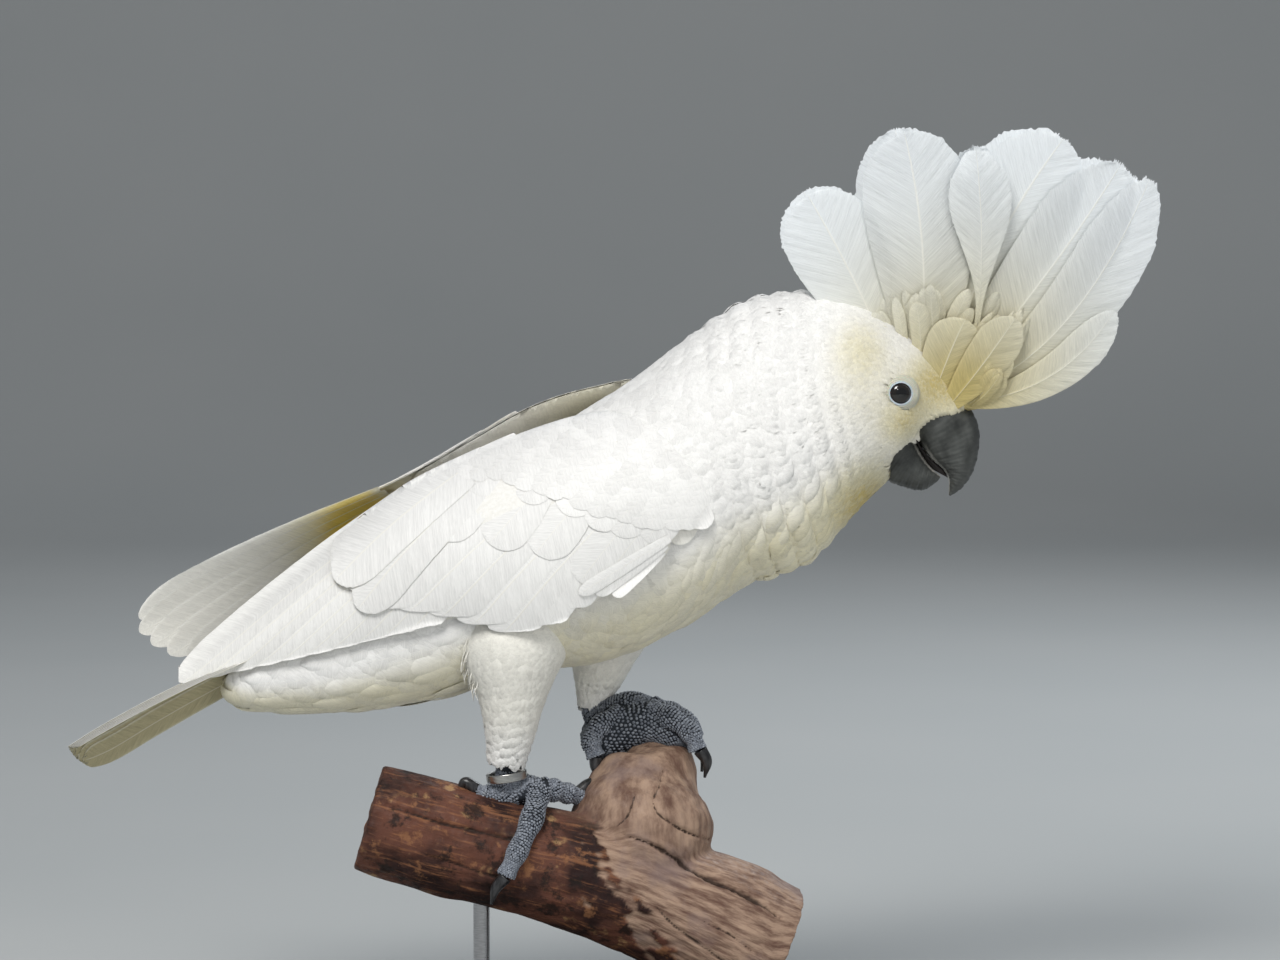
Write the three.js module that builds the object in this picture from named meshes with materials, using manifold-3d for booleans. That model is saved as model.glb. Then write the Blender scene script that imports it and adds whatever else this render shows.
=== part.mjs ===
// A white (umbrella) cockatoo gripping a cut length of branch, life size, as a still museum model.
// Millimetres, +Z up. The bird faces +X and its right side is at -Y. Z = 0 is the floor under the stand.
import * as THREE from "three";
import { LoftGeometry } from "three/addons/geometries/LoftGeometry.js";
import { mergeVertices } from "three/addons/utils/BufferGeometryUtils.js";
import Module from "manifold-3d";

const wasm = await Module();
wasm.setup();

// ---------------------------------------------------------------- driving dimensions
const GAP = 0.3; // air between two pieces that meet
const EYE = { x: 109.5, z: 288.5, radius: 5.6, proud: 3.6 };
const BILL_OPENING = { x: 131, z: 262, radius: 16.5 }; // the round edge of the face feathers
const NARROWER_ABOVE = 0.12; // how much slimmer the body is along its back than its belly
const VANE = 0.45; // half the thickness of a crest feather
const CREST_LEAN = THREE.MathUtils.degToRad(15); // how far each side of the crest opens outwards
const CREST_FOOT = 290; // height at which the leaning sides of the crest meet
const TAIL_ROOF = 0.42; // how steeply the tail slopes down from its ridge, on both sides
const TAIL_HANG = 0.4; // how much further its left half hangs
const TOE_PADS = 3;
const RING = { x: -57, y: -22, z: 124.2, inner: 7.6, outer: 8.8, height: 3.6, tilt: 8 };
const BASE = { length: 250, width: 150, height: 12, corner: 18, bevel: 1.5 };
const ROD_RADIUS = 3.5;
const RODS = [{ x: -68, y: -20 }, { x: 26, y: -5 }];
const SIDES = { right: -1, left: 1 };

// Faces around and along each kind of body.
const FACETS = {
  body: [20, 23], bill: [12, 8], vane: [6, 7], wing: [14, 13], tail: [12, 8],
  limb: [14, 10], stub: [14, 8], trousers: [12, 8], shank: [9, 6], toe: [7, 6], claw: [5, 3],
  eye: [12, 6], ring: 16, rod: 12, opening: 16, corner: 3,
};

// ---------------------------------------------------------------- helpers
const vec = (x, y, z) => new THREE.Vector3(x, y, z);

// An outline in the upright X-Z plane, as a smooth function of t from 0 to 1.
function outline(...points) {
  const curve = new THREE.SplineCurve(points.map(([x, z]) => new THREE.Vector2(x, z)));
  return (t) => {
    const p = curve.getPoint(t);
    return vec(p.x, 0, p.y);
  };
}

// A size that changes smoothly along a body, from evenly spaced values.
function sizes(...values) {
  const curve = new THREE.SplineCurve(values.map((value, i) => new THREE.Vector2(i, value)));
  return (t) => curve.getPoint(t).y;
}

// A path in space through a few points.
function course(...points) {
  const curve = new THREE.CatmullRomCurve3(points.map((p) => vec(...p)));
  return { at: (t) => curve.getPoint(t), tangent: (t) => curve.getTangent(t) };
}

// The middle, half height and direction of the line from a lower point up to an upper one.
function between(top, low) {
  const up = top.clone().sub(low);
  const half = up.length() / 2;
  return { middle: top.clone().add(low).multiplyScalar(0.5), half, up: up.normalize() };
}

// A swelled body also gets longer: only its two ends move, outwards.
const endShift = (t, grow) => grow * (2 * t - 1) ** 5;

// The outline of a plate's section: blunter than an ellipse.
const blunt = (y, power) => Math.sign(y) * Math.abs(y) ** power;
const VANE_EDGE = 0.6;
const PLATE_EDGE = 0.7;

// A geometry as a manifold-3d solid, and back.
function solidOf(geometry) {
  const bare = new THREE.BufferGeometry();
  bare.setAttribute("position", geometry.getAttribute("position"));
  bare.setIndex(geometry.index);
  const merged = mergeVertices(bare, 1e-4);
  const vertProperties = merged.attributes.position.array;
  const triVerts = new Uint32Array(merged.index.array);
  return new wasm.Manifold(new wasm.Mesh({ numProp: 3, vertProperties, triVerts }));
}

function geometryOf(solid) {
  const mesh = solid.getMesh();
  const geometry = new THREE.BufferGeometry();
  geometry.setAttribute("position", new THREE.BufferAttribute(mesh.vertProperties, 3));
  geometry.setIndex(new THREE.BufferAttribute(mesh.triVerts, 1));
  geometry.computeVertexNormals();
  return geometry;
}

// A loft is the right way out where its sections turn counterclockwise, seen from the far end.
function rightWayOut(sections) {
  const centre = (ring) => ring.reduce((sum, p) => sum.add(p), vec(0, 0, 0)).divideScalar(ring.length);
  const half = Math.floor(sections.length / 2);
  const [near, far] = [sections[half], sections[half + 1]];
  const middle = centre(near);
  const quarter = Math.round(near.length / 4);
  const spin = near[0].clone().sub(middle).cross(near[quarter].clone().sub(middle));
  const turnsRight = spin.dot(centre(far).sub(middle)) > 0;
  return turnsRight ? sections : sections.map((section) => section.reverse());
}

const evenly = (s) => s;
const denseAtEnds = (s) => (1 - Math.cos(Math.PI * s)) / 2;
const denseAtTip = (s) => 1 - (1 - s) ** 1.8;

// A closed body through cross-sections. place(t, x, y, grow) is the point of section t at x, y on the
// unit circle. The result is a function of grow, the distance by which the whole body is swelled.
function loft(place, [around, along], spacing = evenly) {
  return (grow = 0) => {
    const sections = [];
    for (let i = 0; i <= along; i++) {
      const section = [];
      for (let j = 0; j < around; j++) {
        const angle = (2 * Math.PI * j) / around;
        section.push(place(spacing(i / along), Math.cos(angle), Math.sin(angle), grow));
      }
      sections.push(section);
    }
    return solidOf(new LoftGeometry(rightWayOut(sections), { capStart: true, capEnd: true }));
  };
}

// A round body of changing radius along a course.
function limb(path, radius, facets) {
  const place = (t, x, y, grow) => {
    const tangent = path.tangent(t);
    const across = vec(0, 1, 0).cross(tangent).normalize();
    const sideways = tangent.clone().cross(across);
    const r = radius(t) + grow;
    return path.at(t).addScaledVector(across, r * x).addScaledVector(sideways, r * y)
      .addScaledVector(tangent, endShift(t, grow));
  };
  return loft(place, facets);
}

// A solid less the swelled shapes of the neighbours that it meets; crumbs cut loose are dropped.
function cutBy(solid, ...neighbours) {
  const cut = neighbours.reduce((left, shape) => left.subtract(shape(GAP)), solid);
  return cut.decompose().sort((a, b) => b.volume() - a.volume())[0];
}

// A thin flat blade that parts a body where it is drawn: through two points of the X-Z plane.
function blade([x1, z1], [x2, z2]) {
  const length = Math.hypot(x2 - x1, z2 - z1);
  const sheet = new THREE.BoxGeometry(length, BASE.length, GAP);
  sheet.rotateY(-Math.atan2(z2 - z1, x2 - x1));
  sheet.translate((x1 + x2) / 2, 0, (z1 + z2) / 2);
  return solidOf(sheet);
}

// The pieces that blades leave, from the tail end forwards.
function partedBy(solid, ...blades) {
  const middleX = (piece) => (piece.boundingBox().min[0] + piece.boundingBox().max[0]) / 2;
  const parted = blades.reduce((left, sheet) => left.subtract(sheet), solid);
  const pieces = parted.decompose().sort((a, b) => b.volume() - a.volume()).slice(0, blades.length + 1);
  return pieces.sort((a, b) => middleX(a) - middleX(b));
}

const group = new THREE.Group();
function add(name, solid, material) {
  const mesh = new THREE.Mesh(geometryOf(solid), material);
  mesh.name = name;
  group.add(mesh);
}

const finish = (color, roughness, metalness = 0) =>
  new THREE.MeshStandardMaterial({ color, roughness, metalness });
const PLUMAGE = finish(0xf4f1e6, 0.8);
const HORN = finish(0x3a3c3d, 0.5);
const SCALE_SKIN = finish(0x59606e, 0.7);
const CLAW = finish(0x24262b, 0.4);
const EYEBALL = finish(0x0a0808, 0.1);
const METAL = finish(0xb9b7b2, 0.3, 1);
const WOOD = finish(0x8a6a50, 0.8);
const STAND = finish(0x2a2a2c, 0.5);
const ROD = finish(0x8d8f92, 0.35, 1);

// ---------------------------------------------------------------- trunk, neck and head
// Matching points of the back and the belly, from the root of the tail to the base of the bill,
// and half the body's width between them.
const back = outline(
  [-172, 170], [-162, 181], [-133, 201], [-94, 231], [-60, 256], [-30, 275], [-2, 293],
  [21, 311], [46, 327], [71, 331], [95, 327], [118, 312], [134, 296], [143, 282],
);
const belly = outline(
  [-176, 162], [-172, 151], [-131, 149], [-90, 155], [-51, 167], [-17, 171], [17, 186],
  [45, 204], [71, 213], [90, 233], [101, 244.5], [105.5, 249.5], [107.5, 254], [109, 259],
);
const flank = sizes(6, 14, 24, 34, 42, 47, 50, 50, 47, 42, 35, 28, 18.5, 13.5);

const featheredBody = loft((t, x, y, grow) => {
  const { middle, half, up } = between(back(t), belly(t));
  const point = middle.addScaledVector(up, (half + grow) * y);
  point.y = (flank(t) + grow) * x * (1 - NARROWER_ABOVE * y);
  return point.addScaledVector(vec(up.z, 0, -up.x), endShift(t, grow));
}, FACETS.body);

function billOpening(grow) {
  const radius = BILL_OPENING.radius + grow;
  const round = new THREE.CylinderGeometry(radius, radius, 60, FACETS.opening);
  round.translate(BILL_OPENING.x, 0, BILL_OPENING.z);
  return solidOf(round);
}
const wholeBody = (grow = 0) => featheredBody(grow).subtract(billOpening(-grow));

// Half the body's width at a point of the X-Z plane, read from the section that passes closest to it.
function halfWidthAt(x, z) {
  let best = { miss: Infinity, width: 0 };
  for (let t = 0; t <= 1; t += 0.0025) {
    const { middle, half, up } = between(back(t), belly(t));
    const offset = vec(x, 0, z).sub(middle);
    const y = offset.dot(up) / half;
    const miss = offset.addScaledVector(up, -y * half).length();
    const width = flank(t) * Math.sqrt(Math.max(0, 1 - y * y)) * (1 - NARROWER_ABOVE * y);
    if (miss < best.miss) best = { miss, width };
  }
  return best.width;
}
const eyeDepth = halfWidthAt(EYE.x, EYE.z) - EYE.radius + EYE.proud;

const eyeball = (side) => (grow = 0) => {
  const ball = new THREE.SphereGeometry(EYE.radius + grow, ...FACETS.eye);
  ball.rotateX(Math.PI / 2);
  ball.translate(EYE.x, side * eyeDepth, EYE.z);
  return solidOf(ball);
};

// ---------------------------------------------------------------- bill
// The hooked upper bill lies between its ridge and its cutting edge, the lower one between its own
// cutting edge and its keel.
function billHalf(upper, lower, width, narrowerAbove) {
  return loft((t, x, y, grow) => {
    const { middle, half, up } = between(upper(t), lower(t));
    const point = middle.addScaledVector(up, (half + grow) * y);
    point.y = (width(t) + grow) * x * (1 - narrowerAbove * y);
    return point;
  }, FACETS.bill);
}
const upperBill = billHalf(
  outline([131, 286], [141, 281], [145.5, 272], [145.5, 262], [143, 252.5], [138.5, 246], [133.5, 242.5]),
  outline([114, 275], [118, 269], [121.5, 263], [125.5, 258], [130, 254.5], [132.5, 250], [132.8, 243]),
  sizes(13, 12.5, 11, 9, 6.5, 4, 1.2), 0.25,
);
const lowerBill = billHalf(
  outline([111, 274], [116, 267.5], [119, 261], [123, 255], [128.5, 250.5]),
  outline([101, 258], [104.5, 250.5], [113, 246.5], [121.5, 245], [127.5, 248.5]),
  sizes(11.5, 10.5, 8.5, 6, 2), -0.15,
);

// ---------------------------------------------------------------- crest
// A feather's outline: narrow at the quill, widest near three quarters, round at the tip.
function vaneWidth(t) {
  const swell = 0.3 + 0.7 * Math.sin((Math.PI / 2) * Math.min(1, t / 0.7));
  const round = Math.sqrt(Math.max(0.03, 1 - Math.max(0, (t - 0.72) / 0.28) ** 2));
  return swell * round;
}

// A thin vane from root to tip, bent towards a third point, with its face towards normal.
function feather({ root, bend, tip, width, normal }) {
  const rachis = new THREE.QuadraticBezierCurve3(root, bend, tip);
  return loft((t, x, y, grow) => {
    const tangent = rachis.getTangent(t);
    const across = normal.clone().cross(tangent).normalize();
    const reach = (width / 2) * vaneWidth(t) + grow;
    return rachis.getPoint(t).addScaledVector(across, reach * x)
      .addScaledVector(normal, (VANE + grow) * blunt(y, VANE_EDGE))
      .addScaledVector(tangent, endShift(t, grow));
  }, FACETS.vane, denseAtTip);
}

// Each feather of one side: where it is rooted, bends and ends in the side's own leaning plane, its
// width, and the layer that it lies in, counted outwards from the middle of the head.
const CREST = [
  { name: "hind", root: [106, 304], bend: [92, 338], tip: [71, 373], width: 41, layer: 3 },
  { name: "crown", root: [120, 300], bend: [124, 350], tip: [111, 400], width: 46, layer: 5 },
  { name: "top", root: [131, 298], bend: [144, 350], tip: [178, 397], width: 48, layer: 3 },
  { name: "fore", root: [134, 292], bend: [168, 328], tip: [202, 386], width: 40, layer: 5 },
  { name: "brow", root: [136, 288], bend: [186, 305], tip: [214, 380], width: 31, layer: 7 },
  { name: "forehead", root: [137, 286], bend: [180, 288], tip: [201, 325], width: 18, layer: 9 },
  { name: "short", root: [124, 284], bend: [130, 305], tip: [138, 322], width: 23, layer: 10.5 },
  { name: "tuft", root: [131, 284], bend: [146, 302], tip: [159, 323], width: 20, layer: 12 },
];
const crestMiddle = feather({
  root: vec(139, 0, 292), bend: vec(139, 0, 345), tip: vec(144, 0, 392), width: 36,
  normal: vec(0.5, -0.87, 0).normalize(),
});

function crestFeather(side, { root, bend, tip, width, layer }) {
  const normal = vec(0, side * Math.cos(CREST_LEAN), -Math.sin(CREST_LEAN));
  const lift = ([x, z]) => {
    const leaning = vec(x, side * (z - CREST_FOOT) * Math.tan(CREST_LEAN), z);
    return leaning.addScaledVector(normal, layer);
  };
  return feather({ root: lift(root), bend: lift(bend), tip: lift(tip), width, normal });
}

// ---------------------------------------------------------------- wings
// Upper and lower edge of each folded wing, shoulder to tip, how far out from the middle those edges
// lie, and how far the wing bulges out between them. The left wing is held higher and further out.
const WINGS = {
  right: {
    upper: outline(
      [26, 266], [4, 280], [-21, 279.5], [-47, 272], [-73, 261], [-99, 248], [-124, 230],
      [-148, 211.5], [-170, 192], [-188, 175.5], [-199, 164],
    ),
    lower: outline(
      [31, 241], [21.5, 229], [-3.5, 211.5], [-34, 194], [-60, 189], [-86, 193], [-114, 184.5],
      [-142, 177.5], [-165, 171.5], [-184, 166], [-199, 160],
    ),
    upperOut: sizes(40, 24, 16, 13, 11, 9, 8, 8, 8, 9, 10),
    lowerOut: sizes(48, 52, 53, 51, 46, 40, 33, 26, 19, 14, 11),
    bulge: sizes(4, 14, 20, 21, 19, 15, 11, 7, 4, 2, 0),
  },
  left: {
    upper: outline(
      [26, 266], [4, 290], [-21, 288.5], [-47, 280.5], [-73, 266], [-99, 251], [-124, 239.5],
      [-150, 230.5], [-176, 219], [-203, 206], [-220, 188],
    ),
    lower: outline(
      [31, 241], [21.5, 229], [-3.5, 211.5], [-34, 198], [-60, 192.5], [-86, 191], [-112, 187],
      [-142, 178], [-172, 169], [-199, 166], [-221, 179],
    ),
    upperOut: sizes(40, 22, 12, 8, 7, 8, 10, 12, 15, 18, 20),
    lowerOut: sizes(48, 52, 53, 52, 49, 45, 41, 37, 33, 29, 22),
    bulge: sizes(4, 14, 22, 23, 21, 18, 14, 10, 6, 3, 0),
  },
};
const wingThick = sizes(3.2, 4, 4, 3.6, 3.2, 2.8, 2.4, 2, 1.6, 1.2, 0.8);
const BELOW_COVERTS = [[60, 232], [-205, 211]];
const ARM_TO_HAND = [[-84, 240], [-136, 150]];

function wing(side, { upper, lower, upperOut, lowerOut, bulge }) {
  const chord = (t) => between(upper(t).setY(side * upperOut(t)), lower(t).setY(side * lowerOut(t)));
  return loft((t, x, y, grow) => {
    const { middle, half, up } = chord(t);
    const rearward = chord(Math.min(1, t + 0.02)).middle.sub(chord(Math.max(0, t - 0.02)).middle).normalize();
    const outward = up.clone().cross(rearward).normalize().multiplyScalar(-side);
    const reach = x * (1 + grow / half);
    const depth = bulge(t) * (1 - reach * reach) + (wingThick(t) + grow) * blunt(y, PLATE_EDGE);
    return middle.addScaledVector(up, half * reach).addScaledVector(outward, depth)
      .addScaledVector(rearward, endShift(t, grow));
  }, FACETS.wing, denseAtEnds);
}
const wingShape = { right: wing(SIDES.right, WINGS.right), left: wing(SIDES.left, WINGS.left) };

// ---------------------------------------------------------------- tail
// A roofed fan: the right half lies nearly flat and the left half hangs.
const tailRidge = outline([-140, 190], [-160, 180], [-185, 169], [-210, 157], [-232, 145], [-247, 135]);
const tailWidth = sizes(13, 16, 19, 22, 23, 14);
const tailThick = sizes(4, 3.4, 2.6, 1.9, 1.3, 0.8);
const tail = loft((t, x, y, grow) => {
  const width = tailWidth(t) + grow;
  const ridge = tailRidge(t);
  const drop = width * (TAIL_ROOF * Math.hypot(x, 0.25) + TAIL_HANG * x);
  const height = ridge.z - drop + (tailThick(t) + grow) * blunt(y, PLATE_EDGE);
  return vec(ridge.x - endShift(t, grow), width * x, height);
}, FACETS.tail, denseAtTip);

// ---------------------------------------------------------------- perch
// A cut limb with the rounded stub of a branch that forked from it.
const limbLine = course(
  [-116, -22, 106.5], [-77, -21, 95], [-34, -18, 84], [0, -10, 72], [34, -4, 56], [57, 0, 44],
);
const limbRadius = sizes(23, 24, 24.5, 27.5, 31, 31);
const stubLine = course(
  [3, -6, 62], [1, -2, 98], [3, 5, 114], [7, 10, 126], [6.5, 12, 133], [6.5, 12, 137],
);
const stubRadius = sizes(22, 31, 27, 18, 11, 3);
const knotty = (radius, waves) => (t) => radius(t) * (1 + 0.02 * Math.sin(waves * t));
const perchLimb = limb(limbLine, knotty(limbRadius, 17), FACETS.limb);
const perchStub = limb(stubLine, knotty(stubRadius, 11), FACETS.stub);
const perch = (grow = 0) => perchLimb(grow).add(perchStub(grow));

// ---------------------------------------------------------------- legs and feet
// Toe 1 is the inner hind toe, 2 the inner front, 3 the outer front and 4 the outer hind toe.
const LEGS = {
  right: {
    trousers: limb(
      course([-50, -17, 204], [-54, -24, 180], [-54.5, -26, 160], [-55.5, -24.5, 143], [-57.5, -22, 129]),
      sizes(20, 23, 15, 10.8, 8.4), FACETS.trousers,
    ),
    shank: limb(
      course([-57, -22, 136], [-57, -22, 128], [-57, -22, 122], [-53, -21, 118], [-45, -20, 117.5]),
      sizes(5, 5, 5, 6, 6), FACETS.shank,
    ),
    toes: [
      [[-50, -14, 119], [-51, -4, 116], [-54, 4, 105], [-56, 7, 94]],
      [[-42, -18, 118], [-37, -15, 117], [-31, -11, 115], [-26, -7, 113]],
      [[-43, -24, 118], [-46, -38, 108], [-52, -45, 95], [-57, -46, 85]],
      [[-52, -22, 117], [-59, -22, 115.5], [-66, -22, 116], [-70, -22, 117]],
    ],
    claws: [
      [[-56, 8, 94], [-58, 8, 88], [-58, 5, 82]],
      [[-26, -7, 115], [-21, -4.5, 118.5], [-17, -2.5, 116]],
      [[-57, -47, 85], [-61, -47, 80], [-63, -46, 73]],
      [[-70, -22, 118.5], [-75, -22, 121.5], [-78, -22, 116]],
    ],
  },
  left: {
    trousers: limb(
      course([-8, 16, 198], [-15, 23, 178], [-18.5, 25, 160], [-22, 23, 146]),
      sizes(20, 17, 10.6, 5.8), FACETS.trousers,
    ),
    shank: limb(
      course([-24, 22, 143], [-15, 20, 146], [-4, 17, 149], [4, 15, 147.5]),
      sizes(5.4, 6, 7, 6.4), FACETS.shank,
    ),
    toes: [
      [[-8, 11, 146], [-17, 5, 142], [-21, 2, 135], [-19, 1, 129]],
      [[4, 10, 148], [13, 5, 145.5], [22, 2, 139], [25, 1, 132]],
      [[5, 19, 148], [14, 22, 145], [22, 24, 138], [24, 25, 131]],
      [[-9, 21, 146], [-17, 26, 142], [-21, 29, 136], [-19, 30, 129]],
    ],
    claws: [
      [[-19, 1, 129], [-19, 1, 124], [-16, 2, 120]],
      [[26, 1, 132], [29, 1, 127], [28, 2, 120]],
      [[25, 25, 131], [28, 26, 126], [27, 25, 119]],
      [[-19, 30, 129], [-19, 30, 124], [-16, 29, 120]],
    ],
  },
};
const toeRadius = (t) => (5.6 - 1.5 * t) * (1 + 0.09 * Math.cos(2 * Math.PI * TOE_PADS * t));
const clawRadius = sizes(3.1, 2.3, 0.6);

// ---------------------------------------------------------------- leg ring and stand
function legRing() {
  const half = RING.height / 2;
  const profile = [
    [RING.inner, -half], [RING.outer, -half], [RING.outer, half], [RING.inner, half], [RING.inner, -half],
  ];
  const band = new THREE.LatheGeometry(profile.map(([r, z]) => new THREE.Vector2(r, z)), FACETS.ring);
  band.rotateX(Math.PI / 2);
  band.rotateY(THREE.MathUtils.degToRad(-RING.tilt));
  band.translate(RING.x, RING.y, RING.z);
  return solidOf(band);
}

function basePlate({ length, width, height, corner, bevel }) {
  const x = length / 2 - bevel - corner;
  const y = width / 2 - bevel - corner;
  const plate = new THREE.Shape();
  plate.absarc(x, -y, corner, -Math.PI / 2, 0);
  plate.absarc(x, y, corner, 0, Math.PI / 2);
  plate.absarc(-x, y, corner, Math.PI / 2, Math.PI);
  plate.absarc(-x, -y, corner, Math.PI, 1.5 * Math.PI);
  const made = new THREE.ExtrudeGeometry(plate, {
    depth: height - 2 * bevel, bevelEnabled: true, bevelSize: bevel, bevelThickness: bevel,
    bevelSegments: 1, curveSegments: FACETS.corner,
  });
  made.translate(0, 0, bevel);
  return solidOf(made);
}

// A rod that runs up until the perch cuts it off.
function rod({ x, y }) {
  const foot = BASE.height + GAP;
  const length = 100;
  const pin = new THREE.CylinderGeometry(ROD_RADIUS, ROD_RADIUS, length, FACETS.rod);
  pin.rotateX(Math.PI / 2);
  pin.translate(x, y, foot + length / 2);
  return cutBy(solidOf(pin), perch);
}

// ---------------------------------------------------------------- assembly
function buildBody() {
  const sockets = [eyeball(SIDES.right), eyeball(SIDES.left)];
  const whole = sockets.reduce((body, eye) => body.subtract(eye(GAP)), wholeBody());
  const [trunk, neck, head] = partedBy(whole, blade([14, 330], [54, 190]), blade([70, 345], [94, 215]));
  add("trunk", trunk, PLUMAGE);
  add("neck", neck, PLUMAGE);
  add("head", head, PLUMAGE);
  add("eye_right", eyeball(SIDES.right)(), EYEBALL);
  add("eye_left", eyeball(SIDES.left)(), EYEBALL);
  add("bill_upper", cutBy(upperBill(), wholeBody), HORN);
  add("bill_lower", cutBy(lowerBill(), wholeBody, upperBill), HORN);
  add("tail", cutBy(tail(), wholeBody, wingShape.right, wingShape.left), PLUMAGE);
}

function buildCrest() {
  add("crest_middle", cutBy(crestMiddle(), wholeBody), PLUMAGE);
  for (const [word, side] of Object.entries(SIDES)) {
    const laid = [crestMiddle];
    for (const one of CREST) {
      const shape = crestFeather(side, one);
      add(`crest_${word}_${one.name}`, cutBy(shape(), wholeBody, ...laid), PLUMAGE);
      laid.push(shape);
    }
  }
}

// Each wing is parted below the coverts, and again between the arm's quills and the hand's.
function buildWings() {
  for (const [word, shape] of Object.entries(wingShape)) {
    const laid = word === "left" ? [wingShape.right] : [];
    const [quills, coverts] = partedBy(cutBy(shape(), wholeBody, ...laid), blade(...BELOW_COVERTS));
    const [hand, arm] = partedBy(quills, blade(...ARM_TO_HAND));
    add(`wing_${word}_primaries`, hand, PLUMAGE);
    add(`wing_${word}_secondaries`, arm, PLUMAGE);
    add(`wing_${word}_coverts`, coverts, PLUMAGE);
  }
}

function buildLegs() {
  for (const [word, { trousers, shank, toes, claws }] of Object.entries(LEGS)) {
    add(`trousers_${word}`, cutBy(trousers(), wholeBody, wingShape[word]), PLUMAGE);
    add(`shank_${word}`, cutBy(shank(), trousers, perch), SCALE_SKIN);
    const laid = [];
    toes.forEach((points, i) => {
      const toe = limb(course(...points), toeRadius, FACETS.toe);
      const claw = limb(course(...claws[i]), clawRadius, FACETS.claw);
      add(`toe_${word}_${i + 1}`, cutBy(toe(), shank, trousers, perch, ...laid), SCALE_SKIN);
      add(`claw_${word}_${i + 1}`, cutBy(claw(), toe, perch, ...laid), CLAW);
      laid.push(toe, claw);
    });
  }
  add("leg_ring", legRing(), METAL);
}

function buildStand() {
  add("perch", perch(), WOOD);
  add("stand_base", basePlate(BASE), STAND);
  RODS.forEach((place, i) => add(`stand_rod_${i + 1}`, rod(place), ROD));
}

buildBody();
buildCrest();
buildWings();
buildLegs();
buildStand();

export default group;
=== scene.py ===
# %% [markdown]
# # A white cockatoo gripping a cut branch
# This lesson dresses a still museum model of a white (umbrella) cockatoo. The solids that carry the model
# come from the frame, and every surface that shows is made here: one skin, thousands of thin feathers laid
# over it, a horn bill, scaly feet and a weathered branch. Feathers could be drawn as a texture, but their
# edges catch the light and break the outline, so each one is a thin closed leaf of mesh.

# %% Load the frame
import math

import bpy
import numpy as np
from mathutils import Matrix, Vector


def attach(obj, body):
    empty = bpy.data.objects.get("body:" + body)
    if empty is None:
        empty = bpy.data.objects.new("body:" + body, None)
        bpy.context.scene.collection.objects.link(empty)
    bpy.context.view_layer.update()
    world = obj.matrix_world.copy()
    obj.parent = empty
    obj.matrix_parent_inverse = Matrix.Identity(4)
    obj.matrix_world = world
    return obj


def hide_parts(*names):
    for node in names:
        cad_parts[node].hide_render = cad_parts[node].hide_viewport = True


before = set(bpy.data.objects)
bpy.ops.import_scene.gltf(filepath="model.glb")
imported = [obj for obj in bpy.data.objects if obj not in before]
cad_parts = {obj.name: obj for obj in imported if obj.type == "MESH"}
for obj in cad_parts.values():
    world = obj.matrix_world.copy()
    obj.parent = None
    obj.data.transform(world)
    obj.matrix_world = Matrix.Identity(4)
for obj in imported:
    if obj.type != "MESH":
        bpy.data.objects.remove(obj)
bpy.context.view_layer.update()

MM = 0.001
FULL_TURN = 2 * math.pi
STEP = 1e-3
UP = np.array([0.0, 0.0, 1.0])
SIDES = ("right", -1), ("left", 1)
print("solid nodes in the frame:", len(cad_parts))

# %% [markdown]
# ## Smooth lines and lengths
# The bird's back, belly and every limb are smooth lines through a few places. A cubic through evenly timed
# places gives outlines and sizes, and a line that slows down at close places suits the bent toes. Both are
# written for whole arrays, so one call gives thousands of points.

# %% Lines
def mm(values):
    """Lengths or places given in millimetres, as an array in metres."""
    return MM * np.asarray(values, float)


def cubic_piece(start, end, leave, arrive, w):
    """The cubic that runs from start to end with the two given slopes there, at the share w of the way."""
    cubic = 2 * (start - end) + leave + arrive
    square = 3 * (end - start) - 2 * leave - arrive
    return ((cubic * w + square) * w + leave) * w + start


def spline(values, t):
    """A line through evenly timed values. Each piece is a cubic, and its slope at a value is half the step
    between the two neighbours of that value."""
    p = np.asarray(values, float)
    last = len(p) - 1
    s = np.clip(t, 0, 1) * last
    i = np.minimum(s.astype(int), last - 1)
    w = s - i
    if p.ndim > 1:
        w = w[..., None]
    p0, p1, p2, p3 = (p[np.clip(i + k, 0, last)] for k in (-1, 0, 1, 2))
    return cubic_piece(p1, p2, (p2 - p0) / 2, (p3 - p1) / 2, w)


def course(places, t):
    """A path in space through places. Each piece is a cubic timed by the square root of its length, so that
    the path doesn't loop where places lie close together."""
    p = np.asarray(places, float)
    p = np.vstack([2 * p[0] - p[1], p, 2 * p[-1] - p[-2]])
    pieces = len(p) - 3
    s = np.clip(t, 0, 1) * pieces
    i = np.minimum(s.astype(int), pieces - 1)
    w = (s - i)[..., None]
    p0, p1, p2, p3 = (p[i + k] for k in range(4))
    d0, d1, d2 = (np.sqrt(np.linalg.norm(b - a, axis=-1, keepdims=True))
                  for a, b in ((p0, p1), (p1, p2), (p2, p3)))
    leave = ((p1 - p0) / d0 - (p2 - p0) / (d0 + d1) + (p2 - p1) / d1) * d1
    arrive = ((p2 - p1) / d1 - (p3 - p1) / (d1 + d2) + (p3 - p2) / d2) * d1
    return cubic_piece(p1, p2, leave, arrive, w)


def path_length(path):
    """The length of a course through places, measured along 60 short steps."""
    return np.linalg.norm(np.diff(course(path, np.linspace(0, 1, 60)), axis=0), axis=-1).sum()


def unit(v):
    """Vectors of length 1, in the directions of v."""
    return v / np.maximum(np.linalg.norm(v, axis=-1, keepdims=True), 1e-12)


def smooth_step(x, low, high):
    """0 below low, 1 above high, and an S-shaped cubic between them."""
    s = np.clip((x - low) / (high - low), 0, 1)
    return s * s * (3 - 2 * s)


def blob(points, centre, radius):
    """1 at a centre in the upright plane of the bird's length, fading to 0 around it as a bell curve."""
    away = (points[..., 0] - centre[0] * MM) ** 2 + (points[..., 2] - centre[1] * MM) ** 2
    return np.exp(-away / (radius * MM) ** 2)


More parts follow.
